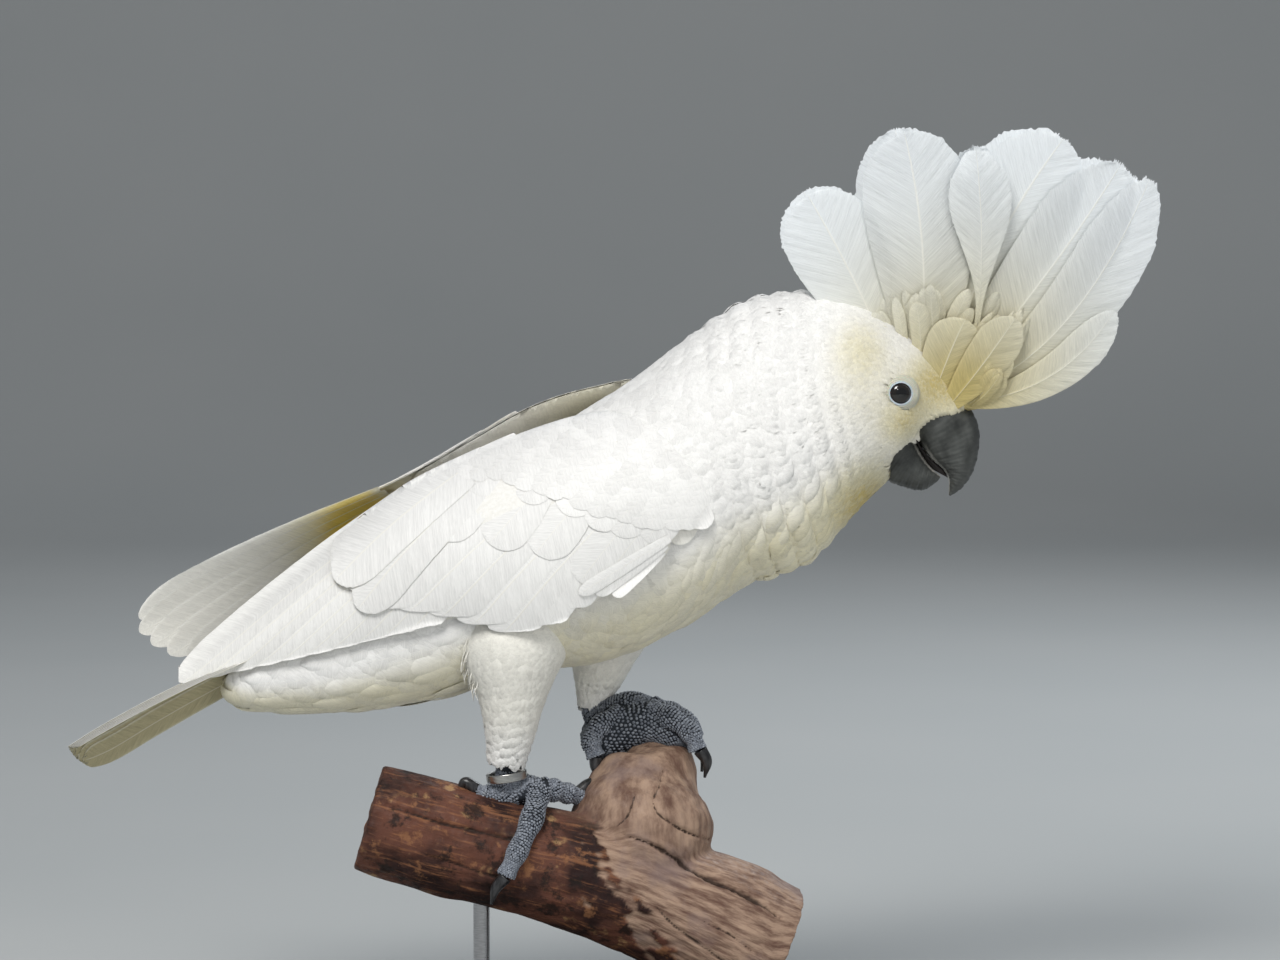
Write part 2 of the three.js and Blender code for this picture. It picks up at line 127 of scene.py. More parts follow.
def ripple(points, size, seed):
    """Gentle unevenness between about -1 and 1: a sum of five sine waves in unrelated directions, the
    longest of them size metres long."""
    rng = np.random.default_rng(1000 + seed)
    total = 0
    for k in range(5):
        direction = unit(rng.normal(size=3))
        phase = points @ direction * FULL_TURN * (1 + 0.37 * k) / size
        total = total + np.sin(phase + rng.uniform(0, FULL_TURN))
    return total / 3

# %% [markdown]
# ## From arrays to meshes
# A surface here is a grid of points. Quads join the grid, and a fan of triangles closes each end of a tube.
# Every finished object stays at the origin with its place in its mesh, and rides on the frame's one body.

# %% Mesh makers
PIECES = []


def fill_mesh(name, points, faces):
    """A smooth mesh from points and faces, which are a list or an array with one row for each face."""
    mesh = bpy.data.meshes.new(name)
    if isinstance(faces, list):
        mesh.from_pydata(points.reshape(-1, 3), [], faces)
    else:
        mesh.vertices.add(points.size // 3)
        mesh.vertices.foreach_set("co", points.astype(np.float32).ravel())
        mesh.loops.add(faces.size)
        mesh.loops.foreach_set("vertex_index", faces.astype(np.int32).ravel())
        mesh.polygons.add(len(faces))
        mesh.polygons.foreach_set("loop_start", np.arange(0, faces.size, faces.shape[1], dtype=np.int32))
        mesh.update(calc_edges=True)
    mesh.polygons.foreach_set("use_smooth", np.ones(len(mesh.polygons), bool))
    mesh.update()
    return mesh


def new_object(name, points, faces, slot, replaced=()):
    """An object from points and faces. It rides on the frame and stands for the named solids. The slot
    argument is not used."""
    mesh = fill_mesh(name, points, faces)
    made = bpy.data.objects.new(name, mesh)
    bpy.context.scene.collection.objects.link(made)
    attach(made, "root")
    if replaced:
        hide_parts(*replaced)
    PIECES.append(made)
    return made


def store(made, name, values):
    """One value for each point, kept on the mesh for its material: a number or a set of three."""
    kind = "FLOAT" if values.ndim == 1 else "FLOAT_VECTOR"
    layer = made.data.attributes.new(name, kind, "POINT")
    layer.data.foreach_set("value" if kind == "FLOAT" else "vector", values.astype(np.float32).ravel())


def unwrap(made, name, corner_uv):
    """A flat map with one place for each corner of each face."""
    layer = made.data.uv_layers.new(name=name)
    layer.uv.foreach_set("vector", corner_uv.astype(np.float32).ravel())


def corners(made):
    """The point at each corner of each face, in the mesh's own order."""
    numbers = np.empty(len(made.data.loops), np.int32)
    made.data.loops.foreach_get("vertex_index", numbers)
    return numbers


def turn_of(count):
    """Evenly spaced angles, all the way round."""
    return FULL_TURN * np.arange(count) / count


def tube_grid(start, end, rows, cols):
    """The parameters of a tube: shares of its length from start to end, and angles all the way round it."""
    return np.meshgrid(np.linspace(start, end, rows), turn_of(cols), indexing="ij")


def grid_quads(rows, cols, wrap):
    """The quads of a grid, row by row. With wrap, the last column joins the first."""
    i, j = np.meshgrid(np.arange(rows - 1), np.arange(cols if wrap else cols - 1), indexing="ij")
    k = (j + 1) % cols
    return np.stack([i * cols + j, i * cols + k, (i + 1) * cols + k, (i + 1) * cols + j], -1).reshape(-1, 4)


def ring_quads(rows, cols):
    """The quads of a closed ring: a grid whose last row and last column both join the first."""
    i, j = np.meshgrid(np.arange(rows), np.arange(cols), indexing="ij")
    m, n = (i + 1) % rows, (j + 1) % cols
    return np.stack([i * cols + j, m * cols + j, m * cols + n, i * cols + n], -1).reshape(-1, 4)


def closed_tube(grid, flip=False):
    """A tube of rows of points, closed at each end by a fan of triangles around the row's middle. The faces
    point out where each row turns counterclockwise as seen from the far end."""
    rows, cols = grid.shape[:2]
    points = np.vstack([grid.reshape(-1, 3), grid[0].mean(0), grid[-1].mean(0)])
    around = np.arange(cols)
    ahead = (around + 1) % cols
    last_row = (rows - 1) * cols
    near = np.stack([np.full(cols, rows * cols), ahead, around], -1)
    far = np.stack([np.full(cols, rows * cols + 1), last_row + around, last_row + ahead], -1)
    faces = grid_quads(rows, cols, True).tolist() + near.tolist() + far.tolist()
    if flip:
        faces = [face[::-1] for face in faces]
    return points, faces


def join_parts(parts):
    """Several sets of points and faces as one."""
    points, faces, offset = [], [], 0
    for part_points, part_faces in parts:
        points.append(part_points)
        faces += [[n + offset for n in face] for face in part_faces]
        offset += len(part_points)
    return np.vstack(points), faces

# %% [markdown]
# ## Finishes
# A material is a small graph of nodes. The patterns that several finishes share, such as the fine slanting
# barbs of a feather or the grain of a horn, are node groups that put out only values, so each material
# keeps its own shader. Colour that changes over the bird comes from numbers kept on the mesh, because the
# skin and the feathers over it have to carry the same markings.

# %% Node helpers
def group_of(name, inputs, outputs):
    """An empty node group with named number, colour or vector sockets."""
    tree = bpy.data.node_groups.new(name, "ShaderNodeTree")
    kinds = {"number": "NodeSocketFloat", "colour": "NodeSocketColor", "vector": "NodeSocketVector"}
    for label, kind, value in inputs:
        socket = tree.interface.new_socket(label, in_out="INPUT", socket_type=kinds[kind])
        socket.default_value = value
    for label, kind in outputs:
        tree.interface.new_socket(label, in_out="OUTPUT", socket_type=kinds[kind])
    return tree, tree.nodes.new("NodeGroupInput"), tree.nodes.new("NodeGroupOutput")


def wired(kind, values, numbers=range(5), **settings):
    """A new node in the tree that the given sockets belong to. Each value goes to the input of its number:
    a socket is joined to it and anything else set on it."""
    tree = next(value.id_data for value in values if isinstance(value, bpy.types.NodeSocket))
    node = tree.nodes.new(kind)
    for label, value in settings.items():
        setattr(node, label, value)
    for value, number in zip(values, numbers):
        if isinstance(value, bpy.types.NodeSocket):
            tree.links.new(value, node.inputs[number])
        else:
            node.inputs[number].default_value = value
    return node


def math_node(operation, a, b=0.0, c=0.0, clamp=False):
    """One sum on up to three values."""
    return wired("ShaderNodeMath", (a, b, c), operation=operation, use_clamp=clamp).outputs[0]


def product(a, b):
    return math_node("MULTIPLY", a, b)


def mix_colours(amount, a, b, blend="MIX"):
    """Colour a, or as the amount grows to 1 colour b."""
    return wired("ShaderNodeMix", (amount, a, b), (0, 6, 7), data_type="RGBA", blend_type=blend).outputs[2]


def ramp(value, low, high, out_low=0.0, out_high=1.0):
    """A value's way from low to high as an S-shaped curve from out_low to out_high."""
    values = value, low, high, out_low, out_high
    return wired("ShaderNodeMapRange", values, interpolation_type="SMOOTHSTEP").outputs[0]


def noise(vector, scale, detail, roughness=0.55, stretch=None):
    """Soft noise around 0.5. With stretch, the pattern is squeezed along each axis by that much."""
    if stretch:
        vector = wired("ShaderNodeMapping", (vector, stretch), ("Vector", "Scale")).outputs[0]
    values = vector, scale, detail, roughness
    return wired("ShaderNodeTexNoise", values, ("Vector", "Scale", "Detail", "Roughness")).outputs[0]


def kept(tree, name, output="Vector"):
    """What the mesh keeps under a name: three numbers, or with "Fac" one."""
    node = tree.nodes.new("ShaderNodeAttribute")
    node.attribute_name = name
    return node.outputs[output]


def object_place(tree):
    return tree.nodes.new("ShaderNodeTexCoord").outputs["Object"]


def split(vector):
    return wired("ShaderNodeSeparateXYZ", (vector,)).outputs


def put_on(shader, colour, height=None, strength=0.0, distance=0.0, rough=None):
    """Joins a finish's colour and, where it has them, its bump and changing roughness to the shader."""
    links = shader.id_data.links
    links.new(colour, shader.inputs["Base Color"])
    if rough is not None:
        links.new(rough, shader.inputs["Roughness"])
    if height is not None:
        bump = wired("ShaderNodeBump", (height, strength, distance), ("Height", "Strength", "Distance"))
        links.new(bump.outputs[0], shader.inputs["Normal"])


def finish_of(name, **fixed):
    """A new material with the numbers that are the same all over it set on its shader."""
    material = bpy.data.materials.new(name)
    material.use_nodes = True
    shader = material.node_tree.nodes["Principled BSDF"]
    for label, value in fixed.items():
        shader.inputs[label.replace("_", " ")].default_value = value
    return material, material.node_tree, shader

# %% [markdown]
# ## Camera, floor and light
# The camera stands level with the bird's side, two metres away, and looks very slightly down. The floor is
# a plain pale sheet that sweeps up behind like a studio paper, and three large soft lamps do the rest: a
# strong one above and in front, a weak fill, and one behind that lights the thin crest.

# %% Studio
CAMERA_DISTANCE = 2.0
CAMERA_TARGET = Vector((0, 0, 0.2494))
CAMERA_RISE = math.radians(5)
FRAME_WIDTH = 0.5504

camera = bpy.data.objects.new("camera", bpy.data.cameras.new("camera"))
bpy.context.scene.collection.objects.link(camera)
towards_camera = Vector((0, -math.cos(CAMERA_RISE), math.sin(CAMERA_RISE)))
camera.location = CAMERA_TARGET + CAMERA_DISTANCE * towards_camera
camera.rotation_euler = (math.pi / 2 - CAMERA_RISE, 0, 0)
camera.data.sensor_width = 36
camera.data.lens = camera.data.sensor_width * CAMERA_DISTANCE / FRAME_WIDTH
bpy.context.scene.camera = camera


def studio_floor():
    """A sheet that runs flat under the stand, bends up in a quarter circle behind it and goes on upright."""
    front, back, bend, half_width, top = -3.5, 2.2, 1.0, 4.0, 4.5
    angle = np.linspace(0, math.pi / 2, 24)
    y = np.concatenate([[front], back + bend * np.sin(angle), [back + bend]])
    z = np.concatenate([[0], bend * (1 - np.cos(angle)), [top]])
    x = np.array([-half_width, half_width])
    grid = np.stack(np.broadcast_arrays(x, y[:, None], z[:, None]), -1)
    floor = bpy.data.objects.new("floor", fill_mesh("floor", grid, grid_quads(len(y), 2, False)[:, ::-1]))
    bpy.context.scene.collection.objects.link(floor)
    return floor


def soft_lamp(name, place, aim, size, watts, colour):
    """A square lamp that faces a point."""
    data = bpy.data.lights.new(name, "AREA")
    data.shape, data.size, data.energy, data.color = "SQUARE", size, watts, colour
    lamp = bpy.data.objects.new(name, data)
    lamp.location = place
    lamp.rotation_mode = "QUATERNION"
    lamp.rotation_quaternion = (Vector(aim) - Vector(place)).to_track_quat("-Z", "Y")
    bpy.context.scene.collection.objects.link(lamp)
    return lamp


def paper_finish():
    """A matt pale sheet with a breath of unevenness."""
    material, tree, shader = finish_of("paper", Roughness=0.9)
    uneven = noise(object_place(tree), 3.0, 2.0, 0.5)
    put_on(shader, mix_colours(uneven, (0.40, 0.42, 0.42, 1), (0.45, 0.46, 0.455, 1)))
    return material


floor = studio_floor()
floor.data.materials.append(paper_finish())
soft_lamp("key_lamp", (-0.5, -1.5, 1.9), (0, 0, 0.24), 0.9, 43, (1, 0.985, 0.96))
fill = soft_lamp("fill_lamp", (0.9, -2.1, 0.45), (-0.03, 0, 0.22), 1.4, 19, (1, 0.985, 0.95))
fill.visible_glossy = False
soft_lamp("back_lamp", (0.7, 1.3, 1.3), (0.05, 0, 0.3), 0.7, 14, (0.9, 0.95, 1))
world = bpy.data.worlds.new("studio")
world.use_nodes = True
world.node_tree.nodes["Background"].inputs["Color"].default_value = (0.82, 0.87, 0.95, 1)
world.node_tree.nodes["Background"].inputs["Strength"].default_value = 0.29
bpy.context.scene.world = world
bpy.context.scene.view_settings.view_transform = "Standard"
print("camera lens in millimetres:", round(camera.data.lens, 1))

# %% [markdown]
# ## Feather finish
# A vane is hundreds of barbs that slant out from the quill and hook together. Each feather keeps two
# numbers along with its colour: how far along and across a point is, and how far along its barb in
# millimetres. Lines of equal barb distance are the barbs, so a fine wave of that number draws them,
# slanting outwards on both sides, and noise stretched along them breaks the wave up.

# %% Feather finish
def make_barbs():
    """The barbs' pattern: noise stretched along them, with a ridge at the quill added to its height."""
    tree, given, put = group_of(
        "barbs",
        [("Vane", "vector", (0, 0, 0)), ("Per mm", "number", 1.6), ("Quill", "number", 0.06)],
        [("Height", "number"), ("Lines", "number"), ("Quill mask", "number")],
    )
    _, across, barb = split(given.outputs["Vane"])
    flat = product(barb, given.outputs["Per mm"]), product(across, 0.9)
    flat = wired("ShaderNodeCombineXYZ", flat).outputs[0]
    clumps, fine = noise(flat, 1.0, 4.0, 0.6), noise(flat, 4.0, 2.0, 0.5)
    lines = math_node("MULTIPLY_ADD", fine, 0.5, product(clumps, 0.9))
    side = math_node("ABSOLUTE", across)
    quill = math_node("SUBTRACT", 1.0, ramp(side, 0.0, given.outputs["Quill"]))
    height = math_node("MULTIPLY_ADD", quill, 0.5, lines)
    tree.links.new(height, put.inputs["Height"])
    tree.links.new(lines, put.inputs["Lines"])
    tree.links.new(quill, put.inputs["Quill mask"])
    return tree


BARBS = make_barbs()
WHITE = (0.90, 0.895, 0.875, 1)
# The crest's white is tinted blue: painted skylight, not the feathers' own colour.
PAINTED_SKYLIGHT_WHITE = (0.80, 0.845, 0.88, 1)
CREAM = (0.87, 0.81, 0.57, 1)
YELLOW = (0.86, 0.63, 0.08, 1)


def yellowed(tint, plain):
    """A plain colour that turns cream and then yellow as the tint grows."""
    warm = mix_colours(ramp(tint, 0.0, 0.5), plain, CREAM)
    return mix_colours(ramp(tint, 0.4, 1.0), warm, YELLOW)


def feather_finish(name, plain, per_mm, quill, bump, scatter):
    """White vanes that turn cream and then yellow where the mesh says so, with barbs and a pale quill."""
    material, tree, shader = finish_of(
        name, Roughness=0.62, Specular_IOR_Level=0.25, Subsurface_Weight=scatter, Subsurface_Scale=0.004,
        Sheen_Weight=0.12, Sheen_Roughness=0.5,
    )
    shader.inputs["Subsurface Radius"].default_value = (1.0, 0.95, 0.85)
    vane = kept(tree, "vane")
    barbs = tree.nodes.new("ShaderNodeGroup")
    barbs.node_tree = BARBS
    tree.links.new(vane, barbs.inputs["Vane"])
    barbs.inputs["Per mm"].default_value, barbs.inputs["Quill"].default_value = per_mm, quill
    tint, shade, chance = split(kept(tree, "tone"))
    warm = yellowed(tint, plain)
    dim = math_node("SUBTRACT", barbs.outputs["Lines"], 0.7)
    dim = math_node("MULTIPLY_ADD", dim, 0.45, 0.0)
    dim = math_node("ADD", dim, math_node("MULTIPLY_ADD", chance, 0.05, 0.94))
    # The mesh's shade number dims the colour: random tone, the dull yellow of the head, and painted shade on
    # the tail's underside.
    dim = math_node("SUBTRACT", dim, shade, clamp=True)
    grey = wired("ShaderNodeCombineColor", (dim, dim, dim)).outputs[0]
    colour = mix_colours(1.0, warm, grey, "MULTIPLY")
    pale = product(barbs.outputs["Quill mask"], 0.45)
    colour = mix_colours(pale, colour, (0.93, 0.9, 0.8, 1))
    put_on(shader, colour, barbs.outputs["Height"], bump, 0.0006)
    return material


SOFT_FEATHER = feather_finish("soft_feather", WHITE, 1.1, 0.02, 0.26, 0.08)
FLIGHT_FEATHER = feather_finish("flight_feather", WHITE, 1.1, 0.05, 0.3, 0.08)
# The crest starts from the white with painted blue skylight.
CREST_FEATHER = feather_finish("crest_feather", PAINTED_SKYLIGHT_WHITE, 1.2, 0.035, 0.45, 0.25)

# %% [markdown]
# ## The body under the feathers
# The trunk, neck and head are one long form. Two lines, the back and the belly, run from the root of the
# tail to the base of the bill, and an oval joins each pair of matching places. Setting every oval in by the
# depth of the feathers gives the skin: deep on the body, thin on the face.

# %% Body surface
BACK = mm([
    (-172, 170), (-162, 181), (-133, 201), (-94, 231), (-60, 256), (-30, 275), (-2, 293),
    (21, 311), (46, 327), (71, 331), (95, 327), (118, 312), (134, 296), (143, 282),
])
BELLY = mm([
    (-176, 162), (-172, 151), (-131, 149), (-90, 155), (-51, 167), (-17, 171), (17, 186),
    (45, 204), (71, 213), (90, 233), (101, 244.5), (105.5, 249.5), (107.5, 254), (109, 259),
])
FLANK = mm([6, 14, 24, 34, 42, 47, 50, 50, 47, 42, 35, 28, 18.5, 13.5])
NARROWER_ABOVE = 0.12
BODY_COAT, FACE_COAT = 5.0 * MM, 1.5 * MM


def coat_depth(t):
    """How deep the feathers are: full on the trunk and thin on the face."""
    return BODY_COAT + (FACE_COAT - BODY_COAT) * smooth_step(t, 0.5, 0.8)


def body(t, a, coat=0.0):
    """A place on the body: an oval between the back and the belly lines, at angle a from the left side over
    the back. The oval is slimmer above. With coat 1 it is the skin, with 0 the feathers' outer surface."""
    top, low = spline(BACK, t), spline(BELLY, t)
    up = top - low
    half = np.linalg.norm(up, axis=-1) / 2
    width = spline(FLANK, t)
    depth = coat * np.minimum(coat_depth(t), 0.4 * np.minimum(half, width))
    x, y = np.cos(a), np.sin(a)
    middle = (top + low) / 2
    lifted = up / np.linalg.norm(up, axis=-1, keepdims=True) * ((half - depth) * y)[..., None]
    side = (width - depth) * x * (1 - NARROWER_ABOVE * y)
    return np.stack([middle[..., 0] + lifted[..., 0], side, middle[..., 1] + lifted[..., 1]], -1)


def slopes(surface, u, v):
    """Where a surface is, how it runs along u and along v, and the way it faces."""
    along = (surface(u + STEP, v) - surface(u - STEP, v)) / (2 * STEP)
    around = (surface(u, v + STEP) - surface(u, v - STEP)) / (2 * STEP)
    return surface(u, v), along, around, unit(np.cross(around, along))


EYE = {"x": 109.5, "z": 288.5, "radius": 6.0, "proud": 2.5, "ring": 4.5, "tips": 6.6}
BILL_OPENING = ((131, 262, 16.5), (119, 256, 13.2))


def away_from(points, x, z):
    """The distance of places from a line across the bird, in metres."""
    return np.hypot(points[..., 0] - x * MM, points[..., 2] - z * MM)


def bill_margin(points):
    """How far places lie outside the opening that the face feathers leave for the bill: two discs."""
    return np.min([away_from(points, x, z) - r * MM for x, z, r in BILL_OPENING], 0)


print("body length in mm:", round(1000 * float(np.ptp(body(np.linspace(0, 1, 50), math.pi / 2)[:, 0]))))

# %% [markdown]
# ## One skin
# Under the feathers lies one skin: body, the arms of the folded wings, thighs, shanks and toes. Each is
# made as a closed tube, and a voxel remesh then melts the tubes into a single surface, as clay is pressed
# together, so that no seam shows where a leg or a wing leaves the body.

# %% Limbs
def limb_frame(path, t):
    """A path's places, its direction, and two directions across it."""
    ahead = unit(course(path, np.minimum(t + STEP, 1)) - course(path, np.maximum(t - STEP, 0)))
    across = unit(np.cross(np.array([0.0, 1.0, 0.0]), ahead))
    return course(path, t), ahead, across, np.cross(ahead, across)


def limb(path, radii, t, a, deeper=0.0):
    """A round limb: a circle of changing radius carried along a path, at angle a round it."""
    middle, _, across, sideways = limb_frame(path, t)
    r = (spline(radii, t) - deeper)[..., None]
    return middle + r * (np.cos(a)[..., None] * across + np.sin(a)[..., None] * sideways)


def limb_tube(path, radii, rows, cols, deeper=0.0):
    """The closed tube of a limb whose path and radii are in metres."""
    return closed_tube(limb(path, radii, *tube_grid(0, 1, rows, cols), deeper))


LEGS = {
    "right": {
        "trousers": ([(-50, -17, 204), (-54, -24, 180), (-54.5, -26, 160), (-55.5, -24.5, 143),
                      (-57.5, -22, 129)], [20, 23, 15, 10.8, 8.4]),
        "shank": ([(-57, -22, 136), (-57, -22, 128), (-57, -22, 122), (-53, -21, 118), (-45, -20, 117.5)],
                  [5, 5, 5, 6, 6]),
        "palm": ([(-64, -22, 116), (-56, -21, 117.5), (-47, -19, 118), (-39, -17, 116)],
                 [4.5, 6.3, 6.5, 4.5]),
        "toes": [
            [(-50, -14, 119), (-51, -4, 116), (-54, 4, 105), (-56, 7, 94)],
            [(-42, -18, 118), (-37, -15, 117), (-31, -11, 115), (-26, -7, 113)],
            [(-43, -24, 118), (-46, -38, 108), (-52, -45, 95), (-57, -46, 85)],
            [(-52, -22, 117), (-59, -22, 115.5), (-66, -22, 116), (-70, -22, 117)],
        ],
        "claws": [
            [(-56, 8, 94), (-58, 8, 88), (-58, 5, 82)],
            [(-26, -7, 115), (-21, -4.5, 118.5), (-17, -2.5, 116)],
            [(-57, -47, 85), (-61, -47, 80), (-63, -46, 73)],
            [(-70, -22, 118.5), (-75, -22, 121.5), (-78, -22, 116)],
        ],
    },
    "left": {
        "trousers": ([(-8, 16, 198), (-15, 23, 178), (-18.5, 25, 160), (-22, 23, 146)], [20, 17, 10.6, 5.8]),
        "shank": ([(-24, 22, 143), (-15, 20, 146), (-4, 17, 149), (4, 15, 147.5)], [5.4, 6, 7, 6.4]),
        "palm": ([(-24, 14, 132), (-15, 13, 136), (3, 13, 142.5), (17, 13, 139), (24, 13, 133)],
                 [6, 10.5, 10, 10, 6]),
        "toes": [
            [(-8, 11, 146), (-17, 5, 142), (-21, 2, 135), (-19, 1, 129)],
            [(4, 10, 148), (13, 5, 145.5), (22, 2, 139), (25, 1, 132)],
            [(5, 19, 148), (14, 22, 145), (22, 24, 138), (24, 25, 131)],
            [(-9, 21, 146), (-17, 26, 142), (-21, 29, 136), (-19, 30, 129)],
        ],
        "claws": [
            [(-19, 1, 129), (-19, 1, 124), (-16, 2, 120)],
            [(26, 1, 132), (29, 1, 127), (28, 2, 120)],
            [(25, 25, 131), (28, 26, 126), (27, 25, 119)],
            [(-19, 30, 129), (-19, 30, 124), (-16, 29, 120)],
        ],
    },
}
TOE_PADS = 3
TOE_TIMES = np.linspace(0, 1, 25)
TOE_RADII = MM * (5.6 - 1.5 * TOE_TIMES) * (1 + 0.09 * np.cos(FULL_TURN * TOE_PADS * TOE_TIMES))
CLAW_RADII = mm([3.1, 2.3, 0.6])
TROUSER_COAT, SCALE_COAT = 2.2 * MM, 0.8 * MM
SKIN_VOXEL = 1.7 * MM

# %% [markdown]
# ### Wing surface
# A folded wing is a thin curved shell that stands against the body. It has an upper and a lower edge from
# the shoulder to the tip, set some way out from the middle, and it bulges outwards between them. Its
# parameters are t along it and x up across it, and a third number says how far out of the shell a layer
# lies.

# %% Wing surface
WINGS = {
    "right": {
        "side": -1,
        "upper": [(26, 266), (4, 280), (-21, 279.5), (-47, 272), (-73, 261), (-99, 248), (-124, 230),
                  (-148, 211.5), (-170, 192), (-188, 175.5), (-199, 164)],
        "lower": [(31, 241), (21.5, 229), (-3.5, 211.5), (-34, 194), (-60, 189), (-86, 193), (-114, 184.5),
                  (-142, 177.5), (-165, 171.5), (-184, 166), (-199, 160)],
        "upper_out": [40, 24, 16, 13, 11, 9, 8, 8, 8, 9, 10],
        "lower_out": [48, 52, 53, 51, 46, 40, 33, 26, 19, 14, 11],
        "bulge": [4, 14, 20, 21, 19, 15, 11, 7, 4, 2, 0],
    },
    "left": {
        "side": 1,
        "upper": [(26, 266), (4, 290), (-21, 288.5), (-47, 280.5), (-73, 266), (-99, 251), (-124, 239.5),
                  (-150, 230.5), (-176, 219), (-203, 206), (-220, 188)],
        "lower": [(31, 241), (21.5, 229), (-3.5, 211.5), (-34, 198), (-60, 192.5), (-86, 191), (-112, 187),
                  (-142, 178), (-172, 169), (-199, 166), (-221, 179)],
        "upper_out": [40, 22, 12, 8, 7, 8, 10, 12, 15, 18, 20],
        "lower_out": [48, 52, 53, 52, 49, 45, 41, 37, 33, 29, 22],
        "bulge": [4, 14, 22, 23, 21, 18, 14, 10, 6, 3, 0],
    },
}
WING_THICK = mm([3.2, 4, 4, 3.6, 3.2, 2.8, 2.4, 2, 1.6, 1.2, 0.8])


def wing_edge(wing, which, t):
    """The upper or the lower edge of a wing, in space."""
    flat = spline(mm(wing[which]), t)
    out = wing["side"] * spline(mm(wing[which + "_out"]), t)
    return np.stack([flat[..., 0], out, flat[..., 1]], -1)


def wing_layer(wing, t, x, out=0.0):
    """A place on a wing: on the line between its edges, pushed out by the bulge, which is a parabola across
    the wing, and by the height of a layer."""
    top, low = wing_edge(wing, "upper", t), wing_edge(wing, "lower", t)
    up = top - low
    ahead, behind = np.clip(t + 0.02, 0, 1), np.clip(t - 0.02, 0, 1)
    rearward = sum(wing_edge(wing, which, ahead) - wing_edge(wing, which, behind)
                   for which in ("upper", "lower"))
    outward = -wing["side"] * unit(np.cross(unit(up), unit(rearward)))
    depth = spline(mm(wing["bulge"]), t) * np.maximum(1 - x * x, 0) + out
    return (top + low) / 2 + up / 2 * x[..., None] + outward * depth[..., None]


def wing_arm(wing):
    """The flesh of a folded wing: a slim plate inside the upper front of the shell."""
    t, a = tube_grid(0.02, 0.6, 40, 28)
    taper = 1 - 0.5 * smooth_step(t, 0.3, 0.6)
    x = 0.38 + 0.5 * taper * np.cos(a)
    return wing_layer(wing, t, x, 0.45 * spline(WING_THICK, t) * np.sin(a))


def skin_parts():
    """Every closed tube that melts into the skin."""
    form = body(*tube_grid(0, 1, 120, 96), 1.0)
    form[..., 1] *= 0.5 + 0.5 * smooth_step(bill_margin(form), -2.5 * MM, 1.5 * MM)
    parts = [closed_tube(form)]
    for wing in WINGS.values():
        parts.append(closed_tube(wing_arm(wing), flip=wing["side"] < 0))
    for leg in LEGS.values():
        path, radii = leg["trousers"]
        parts.append(limb_tube(mm(path), mm(radii), 30, 32, TROUSER_COAT))
        parts += [limb_tube(mm(path), mm(radii), 20, 24, SCALE_COAT)
                  for path, radii in (leg["shank"], leg["palm"])]
        parts += [limb_tube(mm(path), TOE_RADII, 24, 20, SCALE_COAT) for path in leg["toes"]]
    return parts


def modified(made, kind, **settings):
    """Adds a modifier and applies it to the mesh at once."""
    modifier = made.modifiers.new(kind.lower(), kind)
    for label, value in settings.items():
        setattr(modifier, label, value)
    result = bpy.data.meshes.new_from_object(made.evaluated_get(bpy.context.evaluated_depsgraph_get()))
    made.modifiers.clear()
    made.data = result
    return made


FLESH = [f"{part}_{side}" for part in ("trousers", "shank") for side in WINGS]
FLESH += [f"toe_{side}_{n}" for side in WINGS for n in (1, 2, 3, 4)]
FLESH += ["trunk", "neck", "head"] + [f"wing_{side}_coverts" for side in WINGS]

skin = new_object("skin", *join_parts(skin_parts()), "plumage", FLESH)
modified(skin, "REMESH", mode="VOXEL", voxel_size=SKIN_VOXEL, use_smooth_shade=True)
modified(skin, "SMOOTH", factor=0.5, iterations=3)
print("skin triangles:", 2 * len(skin.data.polygons))

# %% [markdown]
# ## Markings
# A white cockatoo isn't evenly white. Its face, crown and throat are cream, the short feathers at the foot
# of the crest are yellow, and so are the hidden undersides of the wings. The belly is creamy, partly its own
# cream and partly painted warm shade, since it lies out of the light. The skin and the coat over it read the
# same rule, which depends only on the place.

# %% Tint rule
TINT_PATCHES = (
    # strength; centre x, z; radius: forehead, brow, crown, cheek, round the eye, chin, in front of the eye
    (0.56, (136, 290), 16), (0.3, (122, 296), 10), (0.32, (93, 308), 13), (0.34, (111, 274.5), 9),
    (0.2, (97, 285), 21), (0.5, (99, 241), 15), (0.2, (118, 282), 12),
)


def tint_at(p, t=None, a=None):
    """How yellow the plumage is at places p: a sum of soft patches on the head, and cream below the body,
    partly its own colour and partly painted warm shade.
    """
    tint = 0
    for strength, centre, radius in TINT_PATCHES:
        tint = tint + strength * blob(p, centre, radius)
    if a is not None:
        # Cream low on the body: partly the plumage's own cream, partly painted warm shade under the body.
        under = smooth_step(-np.sin(a), 0.15, 0.8) * (1 - smooth_step(t, 0.55, 0.8))
        tint = tint + 0.36 * under + 0.2 * smooth_step(-np.sin(a), 0.3, 0.9) * smooth_step(t, 0.5, 0.7)
    return np.clip(tint, 0, 1)


def skin_tint(p):
    """The tint rule for the skin, with a place's height inside the body standing for the angle round it."""
    # Cream low on the body, as in tint_at: partly own cream, partly painted warm shade.
    below = smooth_step(-(p[:, 2] - 0.2 - 0.45 * (p[:, 0] + 0.02)) / 0.05, 0.1, 0.8)
    below = below * smooth_step(-p[:, 0], -0.06, 0)
    return np.clip(tint_at(p) + 0.35 * below, 0, 1)


def mesh_points(made, what="co"):
    """The places of a mesh's points, or with "normal" the ways they face."""
    flat = np.empty(len(made.data.vertices) * 3, np.float32)
    made.data.vertices.foreach_get(what, flat)
    return flat.reshape(-1, 3).astype(float)


